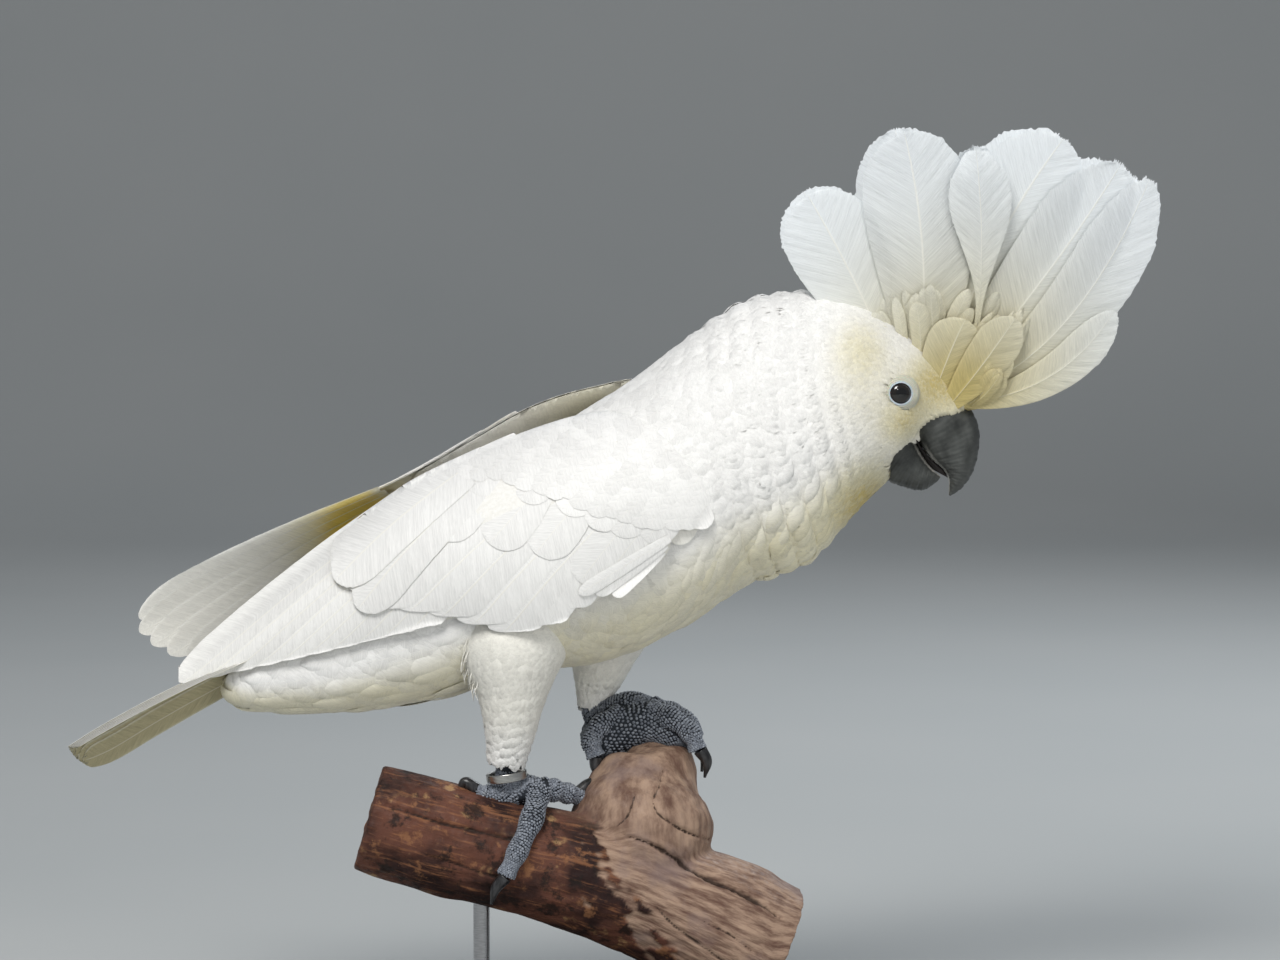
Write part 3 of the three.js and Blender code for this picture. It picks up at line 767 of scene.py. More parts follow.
def near_feet(points):
    """1 on the bare shanks, palms and toes, 0 elsewhere, from the distance to the limbs' middle lines."""
    lines = []
    for leg in LEGS.values():
        lines += [(leg["shank"][0], 6.6), (leg["palm"][0], 12.5)] + [(path, 7.5) for path in leg["toes"]]
    low = points[:, 2] < 0.158
    away = np.full(len(points), 1.0)
    for path, reach in lines:
        line = course(mm(path), np.linspace(0, 1, 14))
        from_line = np.linalg.norm(points[low][:, None] - line[None], axis=-1).min(1) - reach * MM
        away[low] = np.minimum(away[low], from_line)
    return smooth_step(-away, -1.0 * MM, 0.0)


def skin_finish():
    """Pale skin and down in the plumage's colours, and near-black skin between the scales of the feet:
    partly the skin's own dark colour, partly painted shade in the gaps.
    """
    material, tree, shader = finish_of("skin", Roughness=0.8, Specular_IOR_Level=0.2)
    tint, _, dark_foot_skin_and_shade = split(kept(tree, "tone"))
    warm = yellowed(tint, (0.84, 0.83, 0.8, 1))
    down = noise(object_place(tree), 600.0, 4.0, 0.6)
    colour = mix_colours(ramp(down, 0.3, 0.7, 0.25, 0.0), warm, (0.6, 0.58, 0.5, 1))
    # Near-black skin on the feet: partly its own colour, partly painted shade between the scales.
    colour = mix_colours(dark_foot_skin_and_shade, colour, (0.022, 0.026, 0.033, 1))
    put_on(shader, colour, down, 0.5, 0.0008)
    return material


skin_places = mesh_points(skin)
store(skin, "tone", np.stack([skin_tint(skin_places), 0 * skin_places[:, 0], near_feet(skin_places)], -1))
skin.data.materials.append(skin_finish())

# %% [markdown]
# ## Feathers as leaves
# One small grid makes every feather: s runs from the quill to the tip and w from edge to edge. An upper and
# a lower sheet share their border, so the leaf is closed. To lay many feathers at once, the leaf's flat
# shape is carried onto a surface: a step along the feather becomes a step in the surface's own parameters,
# found from the surface's slopes, so that a feather bends with the body under it. A feather's tip lies
# higher than its root, which puts each one on top of the next towards the tail.

# %% Leaf
def leaf(rows, cols, tip=1.5, edge=0.0):
    """The points and triangles of one closed leaf, with rows closer together towards the tip and, with
    edge, columns closer together towards the edges. face is 1 on the upper sheet, -1 on the lower, and 0 on
    the border that they share. Both sheets are cut along the same diagonals, the way the barbs run, so that
    neither pokes through the other."""
    upper = np.arange(rows * cols).reshape(rows, cols)
    lower = upper.copy()
    lower[1:-1, 1:-1] = rows * cols + np.arange((rows - 2) * (cols - 2)).reshape(rows - 2, cols - 2)
    line = np.linspace(-1, 1, cols)
    line = line + edge * (np.sin(math.pi / 2 * line) - line)
    s, w = np.meshgrid(1 - np.linspace(1, 0, rows) ** tip, line, indexing="ij")
    face = np.zeros((rows, cols))
    face[1:-1, 1:-1] = 1
    inner = (slice(1, -1), slice(1, -1))
    low_face = -np.ones((rows - 2) * (cols - 2))

    def sheet(g):
        a, b, c, d = g[:-1, :-1], g[1:, :-1], g[1:, 1:], g[:-1, 1:]
        left = np.stack([np.stack([a, b, d], -1), np.stack([b, c, d], -1)], -2)
        right = np.stack([np.stack([a, b, c], -1), np.stack([a, c, d], -1)], -2)
        return np.where(np.arange(cols - 1)[:, None, None] < (cols - 1) / 2, left, right).reshape(-1, 3)

    return {
        "s": np.concatenate([s.ravel(), s[inner].ravel()]),
        "w": np.concatenate([w.ravel(), w[inner].ravel()]),
        "face": np.concatenate([face.ravel(), low_face]),
        "faces": np.vstack([sheet(upper), sheet(lower)[:, ::-1]]),
        "upper_faces": 2 * (rows - 1) * (cols - 1),
    }


def vane_outline(s, quill, widest, tip=0.2):
    """Half the width of a vane along it, as a share of its greatest: it swells from the quill like a sine
    and rounds off at the tip like an ellipse."""
    swell = quill + (1 - quill) * np.sin(math.pi / 2 * np.minimum(1, s / widest))
    close = np.sqrt(np.maximum(tip ** 2, 1 - np.maximum(0, (s - widest) / (1 - widest)) ** 2.2))
    return swell * close


def ragged(shape, count, along, across, rng):
    """Unevenness of the vane's border: each border point is moved a random share of the given lengths."""
    edge = np.maximum(np.abs(shape["w"]) > 0.98, shape["s"] > 0.98)
    jitter = rng.uniform(-1, 1, (2, count, len(shape["s"]))) * (edge & (shape["s"] > 0.2))
    return jitter[0] * along, jitter[1] * across


def column(value, count):
    """One number for all feathers, or one for each, as a column with a row for each feather."""
    return np.broadcast_to(np.asarray(value, float), (count,))[:, None]


def lay_feathers(surface, u, v, lie, length, width, shape, coat, lift, rng, cup=0.03, rough=0.03,
                 facing=1, quill=0.3, widest=0.6, sweep=0.15, thick=0.06 * MM, puff=0.0, swell=3.0):
    """Feathers on a surface. Each has its root at u, v and lies along lie. A point's distance along and
    across the feather is turned into steps of u and v with the inverse of the surface's metric, and its
    height rises from the skin to the top of the coat, plus the lift of the tip. puff rounds it like a
    cushion, and a larger swell keeps the cushion to the feather's end."""
    count = len(u)
    length, width, coat, lift = (column(x, count) for x in (length, width, coat, lift))
    _, along, around, out = slopes(surface, u, v)
    out = out * facing
    ahead = unit(lie - out * np.sum(lie * out, -1, keepdims=True))
    across = np.cross(out, ahead)
    uu, uv, vv = (np.sum(a * b, -1) for a, b in ((along, along), (along, around), (around, around)))
    area = np.maximum(uu * vv - uv * uv, 1e-12)

    def steps(direction):
        by_u, by_v = np.sum(direction * along, -1), np.sum(direction * around, -1)
        return ((vv * by_u - uv * by_v) / area)[:, None], ((uu * by_v - uv * by_u) / area)[:, None]

    ahead_u, ahead_v = steps(ahead)
    across_u, across_v = steps(across)
    s, w, face = shape["s"], shape["w"], shape["face"]
    jitter_along, jitter_across = ragged(shape, count, rough, rough, rng)
    side = w * vane_outline(s, quill, widest)
    p = length * (s - sweep * side * side * s + jitter_along)
    q = width / 2 * (side + jitter_across)
    at_u, at_v = u[:, None] + p * ahead_u + q * across_u, v[:, None] + p * ahead_v + q * across_v
    place, _, _, normal = slopes(surface, at_u, at_v)
    bowed = cup * width * side ** 2 + 0.12 * coat * smooth_step(s, 0.8, 1.0)
    cushion = (1 + 0.3 * swell) * puff * s ** swell * (1 - s ** 9) * (1 - 0.85 * side ** 2)
    height = coat * (1 - 0.88 * (1 - s) ** 4) + lift * s ** 2 + cushion - bowed + thick * face
    points = place + normal * facing * height[..., None]
    barb = 1000 * (p - 0.7 * np.abs(q))
    return points, np.stack(np.broadcast_arrays(s, w, barb), -1), (at_u, at_v)


def tone_of(points, tint, shade, rng):
    """The three colour numbers of each point: its tint, its dimness, and one random number for a feather."""
    chance = rng.uniform(-1, 1, (len(points), 1))
    return np.stack(np.broadcast_arrays(tint, shade, chance), -1)


def group_from(points, vane, tone, shape, at_u=0.0, at_v=0.0):
    """Feathers of one leaf shape, with the place of each root on the flat map as shares of its sides."""
    root = np.stack([part + np.zeros(len(points)) for part in (at_u, at_v)], -1)
    return {"points": points, "vane": vane, "tone": tone, "leaf": shape, "root": root}


def chart_corners(groups):
    """A square of its own on the flat map for each sheet of each large feather, in rows of equal squares."""
    side = math.ceil(math.sqrt(2 * sum(len(group["points"]) for group in groups)))
    number, parts = 0, []
    for group in groups:
        count, shape = len(group["points"]), group["leaf"]
        place = np.stack([shape["w"] * 0.5 + 0.5, shape["s"]], -1)[shape["faces"]]
        lower = np.arange(len(shape["faces"])) >= shape["upper_faces"]
        chart = number + 2 * np.arange(count)[:, None] + lower[None]
        corner = np.stack([chart % side, chart // side], -1)
        parts.append(((corner[:, :, None] + 0.04 + 0.92 * place[None]) / side).reshape(-1, 2))
        number += 2 * count
    return np.vstack(parts)


def sharpen(made, border):
    """Marks the edges between border points as sharp, so that the light on each sheet stays smooth."""
    ends = np.empty(len(made.data.edges) * 2, np.int32)
    made.data.edges.foreach_get("vertices", ends)
    sharp = border[ends.reshape(-1, 2)].all(1)
    made.data.attributes.new("sharp_edge", "BOOLEAN", "EDGE").data.foreach_set("value", sharp)


def feather_piece(name, groups, slot, material, replaced=(), charts=False):
    """One object of many feathers. Each group holds feathers of one leaf shape: their points, their vane
    numbers, their tone, their leaf and the place of each root on the flat map, where every feather is a
    patch 0.003 across. Large feathers get squares of their own instead."""
    points, vane, tone = (np.vstack([group[key].reshape(-1, 3) for group in groups])
                          for key in ("points", "vane", "tone"))
    faces, flat, offset = [], [], 0
    for group in groups:
        count, size = group["points"].shape[:2]
        numbers = group["leaf"]["faces"][None] + offset + size * np.arange(count)[:, None, None]
        patch = np.stack([group["leaf"]["w"] * 0.5 + 0.5, group["leaf"]["s"]], -1) * OFBAKE_PATCH
        spread = np.clip(group["root"], 0, 1)[:, None, :] * (1 - OFBAKE_PATCH) + patch[None]
        faces.append(numbers.reshape(-1, 3))
        flat.append(spread.reshape(-1, 2))
        offset += count * size
    faces = np.vstack(faces)
    if len(faces) > PIECE_LIMIT:
        raise ValueError(f"{name} has {len(faces)} triangles")
    made = new_object(name, points, faces, slot, replaced)
    store(made, "vane", vane)
    store(made, "tone", tone)
    unwrap(made, "OFBake", chart_corners(groups) if charts else np.vstack(flat)[corners(made)])
    sharpen(made, np.concatenate([np.tile(g["leaf"]["face"] == 0, len(g["points"])) for g in groups]))
    made.data.materials.append(material)
    print(name, "feathers:", sum(len(g["points"]) for g in groups), "triangles:", len(faces))
    return made


OFBAKE_PATCH = 0.003
PIECE_LIMIT = 200000
EVEN_SHARES = 0.7548776662466927, 0.5698402909980532


def spread_roots(surface, count, u_range, v_range, seed, weight=None):
    """Even places on a surface. A sequence that fills a square evenly is bent so that equal shares of it
    fall on equal areas, times a weight where some parts need smaller, closer feathers."""
    u_line = np.linspace(*u_range, 160)
    v_line = np.linspace(*v_range, 160)
    u, v = np.meshgrid(u_line, v_line, indexing="ij")
    _, along, around, _ = slopes(surface, u, v)
    area = np.linalg.norm(np.cross(along, around), axis=-1)
    if weight is not None:
        area = area * weight(u, v)
    rows = np.cumsum(area.sum(1))
    k = seed + np.arange(count)
    first, second = ((0.5 + k * share) % 1 for share in EVEN_SHARES)
    at_u = np.interp(first, rows / rows[-1], u_line)
    row = np.clip(np.searchsorted(u_line, at_u), 0, len(u_line) - 1)
    columns = np.cumsum(area, 1)[row]
    columns = columns / columns[:, -1:]
    at = np.sum(columns < second[:, None], 1).clip(1, len(v_line) - 1)
    pick = np.arange(count)
    low, high = columns[pick, at - 1], columns[pick, at]
    part = (second - low) / np.maximum(high - low, 1e-12)
    return at_u, v_line[at - 1] + part * (v_line[1] - v_line[0])

# %% [markdown]
# ## The coat of the body
# Three tracts cover the body. The face has thousands of tiny narrow feathers, the neck has soft ruffled
# ones that grow longer towards the breast, and the trunk has broad ones. They all point away from the bill,
# and on the throat and breast they hang down. Longer, looser ones stand out on the breast, nape and belly.
# Roots fall evenly over the area, with smaller, closer ones on the face.

# %% Body tracts
BILL_OVERLAP = 1.0 * MM
FLAT_LIFT = 0.1


def ruffle(t, a):
    """Soft folds across the neck, where the bird has drawn it in."""
    folds = np.sin(FULL_TURN * (36 * t + 0.35 * np.sin(2 * a + 1)) + 0.9 * np.sin(3 * a))
    return 0.75 * MM * folds * smooth_step(t, 0.5, 0.58) * (1 - smooth_step(t, 0.68, 0.76))


def skin_surface(t, a):
    """The skin with the folds of the neck on it, which the feathers follow."""
    inner = body(t, a, 1.0)
    return inner + unit(body(t, a, 0.0) - inner) * ruffle(t, a)[..., None]


def body_lie(t, a, hang):
    """Away from the bill, with a downward pull where the feathers hang."""
    _, along, _, _ = slopes(skin_surface, t, a)
    return -unit(along) - hang[:, None] * UP


def dusty(points, tint):
    """The yellow of the head is dull, as if dusty: the yellower it is, the dimmer."""
    return 0.42 * tint * smooth_step(points[..., 0], 0.07, 0.1)


def eased(sizes, t):
    """Lengths that change with t. The four sizes are a first length and a change of it, both in
    millimetres, and the two places that the change runs between."""
    start, change, low, high = sizes
    return MM * (start + change * smooth_step(t, low, high))


def body_tract(count, span, leaf_shape, length, width, lift, seed, weight=None, keep=None, rough=0.03,
               pull=1.1, **form):
    """Feathers over a span of the body. length and width are sizes for eased, lift is in millimetres,
    either a number or a function of the root's place, and keep chooses the roots."""
    rng = np.random.default_rng(seed)
    t, a = spread_roots(skin_surface, count, span, (0, FULL_TURN), seed, weight)
    root = skin_surface(t, a)
    tips = root + body_lie(t, a, 0 * t) * eased(length, t)[:, None]
    clear = bill_margin(root) > -BILL_OVERLAP
    clear &= away_from(root, EYE["x"], EYE["z"]) > EYE["ring"] * MM
    clear &= (away_from(tips, EYE["x"], EYE["z"]) > EYE["tips"] * MM) | (t < 0.7)
    if keep is not None:
        clear &= keep(t, a, root)
    t, a, root = t[clear], a[clear], root[clear]
    below = np.clip(-np.sin(a), -1, 1)
    hang = pull * smooth_step(below, -0.3, 0.6)
    hang = hang * smooth_step(t, 0.4, 0.58) * (1 - smooth_step(t, 0.72, 0.86))
    size = rng.uniform(0.82, 1.18, len(t))
    stray = 0.16 * (1 - 0.4 * smooth_step(t, 0.7, 0.9))
    lie = body_lie(t, a, hang) + stray[:, None] * rng.normal(size=(len(t), 3))
    stand = MM * (lift(t, a) if callable(lift) else lift) * rng.uniform(0.4, 1.4, len(t))
    points, vane, (at_t, at_a) = lay_feathers(
        skin_surface, t, a, lie, eased(length, t) * size, eased(width, t) * size, leaf_shape,
        coat_depth(t), stand, rng, rough=rough, **form)
    tint = tint_at(points, at_t, at_a) * rng.uniform(0.9, 1.1, (len(t), 1))
    shade = 0.06 * rng.uniform(0, 1, (len(t), 1)) + dusty(points, tint)
    return group_from(points, vane, tone_of(points, tint, shade, rng), leaf_shape, t, a / FULL_TURN)


def face_weight(t, a):
    """The face's feathers are closer together towards the bill and the eye."""
    return 1 + 1.2 * smooth_step(t, 0.8, 0.95)


def breast_lift(t, a):
    """The ruff stands off most low on the breast."""
    return 0.3 + 0.8 * smooth_step(-np.sin(a), 0.6, 0.95) * smooth_step(t, 0.5, 0.62)


def vent_lift(t, a):
    """The belly's long feathers stand off most along its middle line."""
    return 0.3 + 0.9 * smooth_step(-np.sin(a), 0.75, 0.95)


def ruff_roots(t, a, root):
    """Both sides of the breast with a wandering border, but not the middle line."""
    return abs(-np.sin(a) - 0.56) < 0.41 - 0.1 * ripple(root, 0.02, 7)


for name, span, long, wide in (("front", (0.84, 0.995), (5.5, 4.2 - 5.5), (1.9, 1.4 - 1.9)),
                               ("rear", (0.69, 0.86), (11, -5), (3.2, 2.1 - 3.2))):
    face = body_tract(5400, span, leaf(4, 4), long + span, wide + span, FLAT_LIFT, 11, face_weight,
                      quill=0.4, widest=0.5, thick=0.05 * MM)
    feather_piece(f"face_{name}_coat", [face], "plumage", SOFT_FEATHER)

neck = body_tract(3000, (0.5, 0.76), leaf(5, 5), (20, -7, 0.58, 0.76), (7, -3, 0.58, 0.76), FLAT_LIFT, 23,
                  puff=0.15 * MM, cup=0.05)
feather_piece("neck_coat", [neck], "plumage", SOFT_FEATHER)

ruff = body_tract(330, (0.47, 0.69), leaf(12, 7), (36, -10, 0.58, 0.7), (6.5, -1.3, 0.6, 0.7), breast_lift,
                  29, keep=ruff_roots, puff=0.65 * MM, swell=1.3, rough=0.055, quill=0.5, widest=0.7,
                  cup=0.09, pull=4.0)
nape = body_tract(90, (0.6, 0.69), leaf(9, 7), (20, 0, 0, 1), (7, 0, 0, 1), 0.8, 31,
                  keep=lambda t, a, root: np.sin(a) > 0.95, puff=0.4 * MM)
vent = body_tract(110, (0.02, 0.36), leaf(12, 7), (44, 0, 0, 1), (14, 0, 0, 1), vent_lift, 33,
                  keep=lambda t, a, root: -np.sin(a) > 0.1, puff=0.7 * MM, cup=0.06)
feather_piece("ruff_coat", [ruff, nape, vent], "plumage", SOFT_FEATHER)

trunk = body_tract(1500, (0.012, 0.54), leaf(6, 7), (27, -2, 0.3, 0.5), (15, -2, 0.3, 0.5), FLAT_LIFT, 37,
                   puff=0.4 * MM)
feather_piece("trunk_coat", [trunk], "plumage", SOFT_FEATHER)

# %% [markdown]
# ### Trousers
# The thighs and the upper shanks wear short soft feathers that point down to the foot and lie in puffed
# bands.

# %% Trousers
def trousers_tract(side, count, seed, fringe=False):
    """The coat of a thigh, or with fringe the loose barbs that stand out behind it."""
    rng = np.random.default_rng(seed)
    path, radii = (mm(values) for values in LEGS[side]["trousers"])

    def thigh(t, a):
        bands = 0.17 * MM * np.cos(FULL_TURN * (13 * t + 0.15 * np.sin(2 * a))) * smooth_step(t, 0.3, 0.5)
        return limb(path, radii, t, a, TROUSER_COAT - bands)

    span, around = ((0.2, 0.42), (-0.7, 0.7)) if fringe else ((0.0, 0.9), (0, FULL_TURN))
    t, a = spread_roots(thigh, count, span, around, seed)
    _, along, _, _ = slopes(thigh, t, a)
    lie = unit(along) + (0.35 if fringe else 0.1) * rng.normal(size=(count, 3))
    lie = lie + np.array([-0.9, 0, 0.2]) * fringe
    size = rng.uniform(0.9, 1.1, count)
    lower = smooth_step(t, 0.3, 0.9)
    length = np.minimum(MM * (13 - 6 * lower) * size, (0.995 - t) * path_length(path))
    width = MM * (5.2 - 2.2 * lower) * size
    lift, puff, half_map = 0.0, 0.1 * MM, 0.5 * (side == "left")
    if fringe:
        length, width, lift = MM * rng.uniform(7, 13, count), MM * 0.55, MM * rng.uniform(0, 4, count)
    shape = leaf(8, 3) if fringe else leaf(4, 4)
    points, vane, _ = lay_feathers(thigh, t, a, lie, length, width, shape, TROUSER_COAT, lift, rng,
                                   puff=puff)
    tint = np.clip(tint_at(points) + 0.16 - 0.3 * (t[:, None] - 0.5) * (t[:, None] > 0.5), 0, 1)
    shade = 0.03 * rng.uniform(0, 1, (count, 1))
    return group_from(points, vane, tone_of(points, tint, shade, rng), shape, t * 0.48 + half_map,
                      (a / FULL_TURN) % 1)


feather_piece("trouser_coat", [trousers_tract("right", 2500, 41), trousers_tract("left", 1900, 43),
                               trousers_tract("right", 90, 45, True), trousers_tract("left", 60, 47, True)],
              "plumage", SOFT_FEATHER)

# %% [markdown]
# ## Wings
# A folded wing shows its feathers as layers: the long primaries at the back under everything, the
# secondaries and tertials over them, and rows of coverts that get smaller towards the leading edge. Their
# roots and tips are set in the upright plane, where a bird's wing is usually drawn, and Newton's method
# finds the place of the shell behind each point. Neighbours overlap like roof tiles: each feather leans so
# that its lower edge lies over the next one and its upper edge slips under the one above, so the stack
# doesn't grow.

# %% Wing feathers
def find_on_wing(wing, x, z):
    """The parameters of the shell's place seen at x, z from the side. Newton's method: the miss is turned
    into steps with the inverse of the two slopes."""
    t, u = np.clip((26 * MM - x) / (226 * MM), 0.02, 0.98), np.zeros_like(x)
    step = 1e-4
    for _ in range(16):
        here = wing_layer(wing, t, u)
        by_t = (wing_layer(wing, t + step, u) - wing_layer(wing, t - step, u)) / (2 * step)
        by_u = (wing_layer(wing, t, u + step) - wing_layer(wing, t, u - step)) / (2 * step)
        miss_x, miss_z = x - here[..., 0], z - here[..., 2]
        size = by_t[..., 0] * by_u[..., 2] - by_t[..., 2] * by_u[..., 0]
        size = np.where(np.abs(size) < 1e-7, 1e-7, size)
        move_t = (miss_x * by_u[..., 2] - miss_z * by_u[..., 0]) / size
        move_u = (miss_z * by_t[..., 0] - miss_x * by_t[..., 2]) / size
        t = np.clip(t + np.clip(move_t, -0.1, 0.1), 0.0, 0.995)
        u = np.clip(u + np.clip(move_u, -0.4, 0.4), -6, 6)
    return t, u


def wing_feathers(wing, plan, root, tip, width, shape, rng, height=0.0, lean=0.04, rise=0.0, bend=0.0,
                  skew=0.0, rough=0.012, quill=0.5, widest=0.78, facing=1, top=1.02, thick=0.09 * MM,
                  cup=0.02, slant=0.0):
    """Feathers between roots and tips given in millimetres on the upright plane of the plan wing, laid on
    the shell of wing. height, rise and cup say how far out the feather lies, how its tip lifts and how it
    bows. slant cuts the tips askew, and the layers of small feathers close up towards the wing's upper
    edge."""
    root, tip = mm(root), mm(tip)
    width = MM * column(width, len(root))
    length = np.linalg.norm(tip - root, axis=-1, keepdims=True)
    ahead = (tip - root) / length
    up = np.stack([ahead[:, 1], -ahead[:, 0]], -1)
    s, w, face = shape["s"], shape["w"] * wing["side"] * facing, shape["face"]
    jitter_along, jitter_across = ragged(shape, len(root), rough * width / length, rough, rng)
    p = length * (s + jitter_along * (1 - 0.8 * (s > 0.98)))
    outline = vane_outline(s, quill, widest, 0.1)
    q = width / 2 * ((w - skew * (1 - w * w)) * outline + jitter_across)
    p = p + np.reshape(slant, (-1, 1)) * q * s ** 7
    arch = bend * length * np.sin(math.pi * s)
    flat = root[:, None] + p[..., None] * ahead[:, None] + (q + arch)[..., None] * up[:, None]
    t, u = find_on_wing(plan, flat[..., 0], flat[..., 1])
    u = np.clip(u, -4, top)
    height = MM * column(height, len(root))
    out = height + MM * rise * (1 - (1 - s) ** 3) - lean * q - cup * width * (w * outline) ** 2
    out = out * (1 - 0.85 * smooth_step(u, 0.86, 1.0) * (top <= 1.0)) + thick * face
    points = wing_layer(wing, t, u, out * facing)
    vane = np.stack(np.broadcast_arrays(s, w, 1000 * (p - 0.8 * np.abs(q))), -1)
    return points, vane, (t, u)


def wing_tint(points, inner):
    """Near white outside. Inside, cream with a strong yellow patch towards the wrist, and more cream high
    near the shoulder, partly the lining's own cream and partly painted warm shade.
    """
    # The patch at (-20, 272) is partly own cream, partly painted warm shade where the far wing's inside lies
    # in shadow.
    under = 0.14 + 1.1 * blob(points, (-120, 226), 22) + 0.2 * blob(points, (-20, 272), 30)
    outer = 0.02 + 0.05 * smooth_step(-points[..., 0], 0.06, 0.2)
    return np.clip(outer + (under - outer) * inner, 0, 1)


def wing_group(wing, plan, root, tip, width, shape, seed, facing=1, **form):
    """Feathers of a wing with their tint, yellower on the sheet that faces in."""
    rng = np.random.default_rng(seed)
    points, vane, (t, u) = wing_feathers(wing, plan, root, tip, width, shape, rng, facing=facing, **form)
    border = 0.4 * (wing["side"] > 0)
    inner = np.choose(1 - shape["face"].astype(int), [0.0, border, 1.0]) if facing > 0 else 1.0
    tint = wing_tint(points, inner)
    shade = 0.03 * rng.uniform(0, 1, (len(points), 1))
    half_map, row_map = (0.5 if wing["side"] > 0 else 0), (0.25 if facing > 0 else 0.75)
    return group_from(points, vane, tone_of(points, tint, shade, rng), shape, t[:, 0] * 0.49 + half_map,
                      np.clip(u[:, 0] * 0.22 + row_map, 0, 1))


def tip_direction(x):
    """The way wing feathers point at a distance x along the wing: steep at the shoulder, flatter behind."""
    angle = np.radians(np.interp(x, [-200, -150, -110, -60, 0, 30], [27, 33, 42, 49, 55, 62]))
    return np.stack([-np.cos(angle), -np.sin(angle)], -1)


def rooted(tips, length):
    """Roots that lie a length above the tips, against the way the feathers point."""
    tips = np.asarray(tips, float)
    return tips - tip_direction(tips[:, 0]) * np.broadcast_to(length, (len(tips),))[:, None]


QUILL_LEAF = leaf(40, 13, 1.5, 0.8)
COVERT_LEAF = leaf(16, 9)
SMALL_LEAF = leaf(7, 7)
SECONDARY_TIPS = np.array([(-36, 199), (-47, 192), (-58, 189), (-71, 192), (-84, 195), (-98, 197),
                           (-112, 199), (-122, 205), (-130, 213)], float)
GREATER_TIPS = np.array([(-13, 214), (-25, 211), (-43.5, 223), (-63, 226.6), (-86, 230), (-98, 236),
                         (-110, 240), (-121, 238)], float)
MEDIAN_TIPS = np.array([(3, 228), (-10, 231), (-20, 234), (-32, 240), (-50, 245), (-72, 248), (-90, 250),
                        (-104, 249)], float)
FAR_PRIMARY_TIPS = np.array([(-135, 180), (-149, 176), (-162, 172.5), (-174, 170), (-186, 168.5),
                             (-197, 168), (-206, 171), (-213.5, 176), (-218.5, 182), (-218.5, 189)])


def primary_lines(side):
    """The roots and tips of the ten primaries. The near wing's lie close, the far wing's fan out."""
    k = np.arange(10.0)
    if side == "right":
        return np.stack([-58 - 4.6 * k, 236 + 0.9 * k], -1), np.stack([-100 - 10.9 * k, 188 - 2.75 * k], -1)
    return np.stack([-84 - 3 * k, 228 + 1.6 * k], -1), FAR_PRIMARY_TIPS


def flight_groups(side, seed):
    """The primaries, secondaries and tertials of one wing."""
    wing, near = WINGS[side], WINGS["right"]
    roots, tips = primary_lines(side)
    lift = np.linspace(-0.4, -1.6, 10)
    wide = np.linspace(20, 15, 10)
    slant = np.linspace(1.4, 0.7, 10) if side == "right" else np.linspace(1.6, -0.5, 10)
    lengths = np.linspace(58, 74, len(SECONDARY_TIPS))
    shift = np.arange(3)[:, None]
    return [
        wing_group(wing, wing, roots, tips, wide, QUILL_LEAF, seed, height=lift, lean=0.05, bend=0.015,
                   skew=0.25, widest=0.8, quill=0.7, top=4, slant=slant),
        wing_group(wing, near, rooted(SECONDARY_TIPS, lengths), SECONDARY_TIPS, 23, QUILL_LEAF, seed + 1,
                   height=0.5, lean=0.04, bend=0.02, skew=0.12, widest=0.8, quill=0.7,
                   slant=[0.8, 0.8, 0.8, 0.8, 0.8, 0.8, 0.6, 0.3, 0]),
        wing_group(wing, near, [(-74, 256), (-68, 252)], [(-129, 208.5), (-119, 197)], 22, QUILL_LEAF,
                   seed + 2, height=[1.7, 1.3], lean=0.03, bend=0.03, widest=0.75, quill=0.7),
        wing_group(wing, near, (13, 229) - shift * (1.5, 2.6), (-25, 205.5) + shift * (7, -0.2), 6.5,
                   COVERT_LEAF, seed + 3, height=2.2 - 0.5 * np.arange(3), lean=0.05, widest=0.85,
                   quill=0.6),
    ]


def staggered(rows, first, step, rng):
    """Row numbers and x of places in rows of 22, every other row shifted by half a step, with jitter."""
    row, column = np.meshgrid(np.arange(rows), np.arange(22), indexing="ij")
    return row, first - step * (column + 0.5 * (row % 2)) + rng.normal(0, 0.8, row.shape)


def covert_groups(side, seed):
    """The rows of coverts on the outside of one wing, and a simple lining of them on its inside."""
    wing, near = WINGS[side], WINGS["right"]
    groups = [
        wing_group(wing, near, rooted(GREATER_TIPS, 38), GREATER_TIPS, 22, COVERT_LEAF, seed, height=0.9,
                   lean=0.03, rise=0.25, widest=0.7, quill=0.5),
        wing_group(wing, near, rooted(MEDIAN_TIPS, 29), MEDIAN_TIPS, 18, COVERT_LEAF, seed + 1, height=1.2,
                   lean=0.025, rise=0.3, widest=0.65, quill=0.4),
    ]
    rng = np.random.default_rng(seed + 5)
    row, x = staggered(10, 24, 6.3, rng)
    z = np.interp(x, MEDIAN_TIPS[::-1, 0], MEDIAN_TIPS[::-1, 1]) + 5.2 * (row + 1)
    z = z + rng.normal(0, 0.6, row.shape)
    size = 1 - 0.04 * row
    edge = spline(np.array(near["upper"], float), np.linspace(0, 1, 200))
    inside = z < np.interp(x, edge[::-1, 0], edge[::-1, 1]) - 1.5
    inside &= x < 27
    tips = np.stack([x[inside], z[inside]], -1)
    small = {"lean": 0.015, "rise": 0.6, "widest": 0.6, "quill": 0.3}
    groups.append(wing_group(wing, near, rooted(tips, 15 * size[inside]), tips, 11.5 * size[inside],
                             SMALL_LEAF, seed + 6, height=1.3, top=1.0, **small))
    row, x = staggered(13, 22, 8.5, rng)
    z = 196 + 8.0 * row
    t, u = find_on_wing(wing, MM * x, MM * z)
    inside = (np.abs(u) < 0.93) & (t < 0.5)
    tips = np.stack([x[inside], z[inside]], -1)
    groups.append(wing_group(wing, wing, rooted(tips, 19), tips, 12, SMALL_LEAF, seed + 7, facing=-1,
                             height=1.6, top=0.98, **small))
    return groups


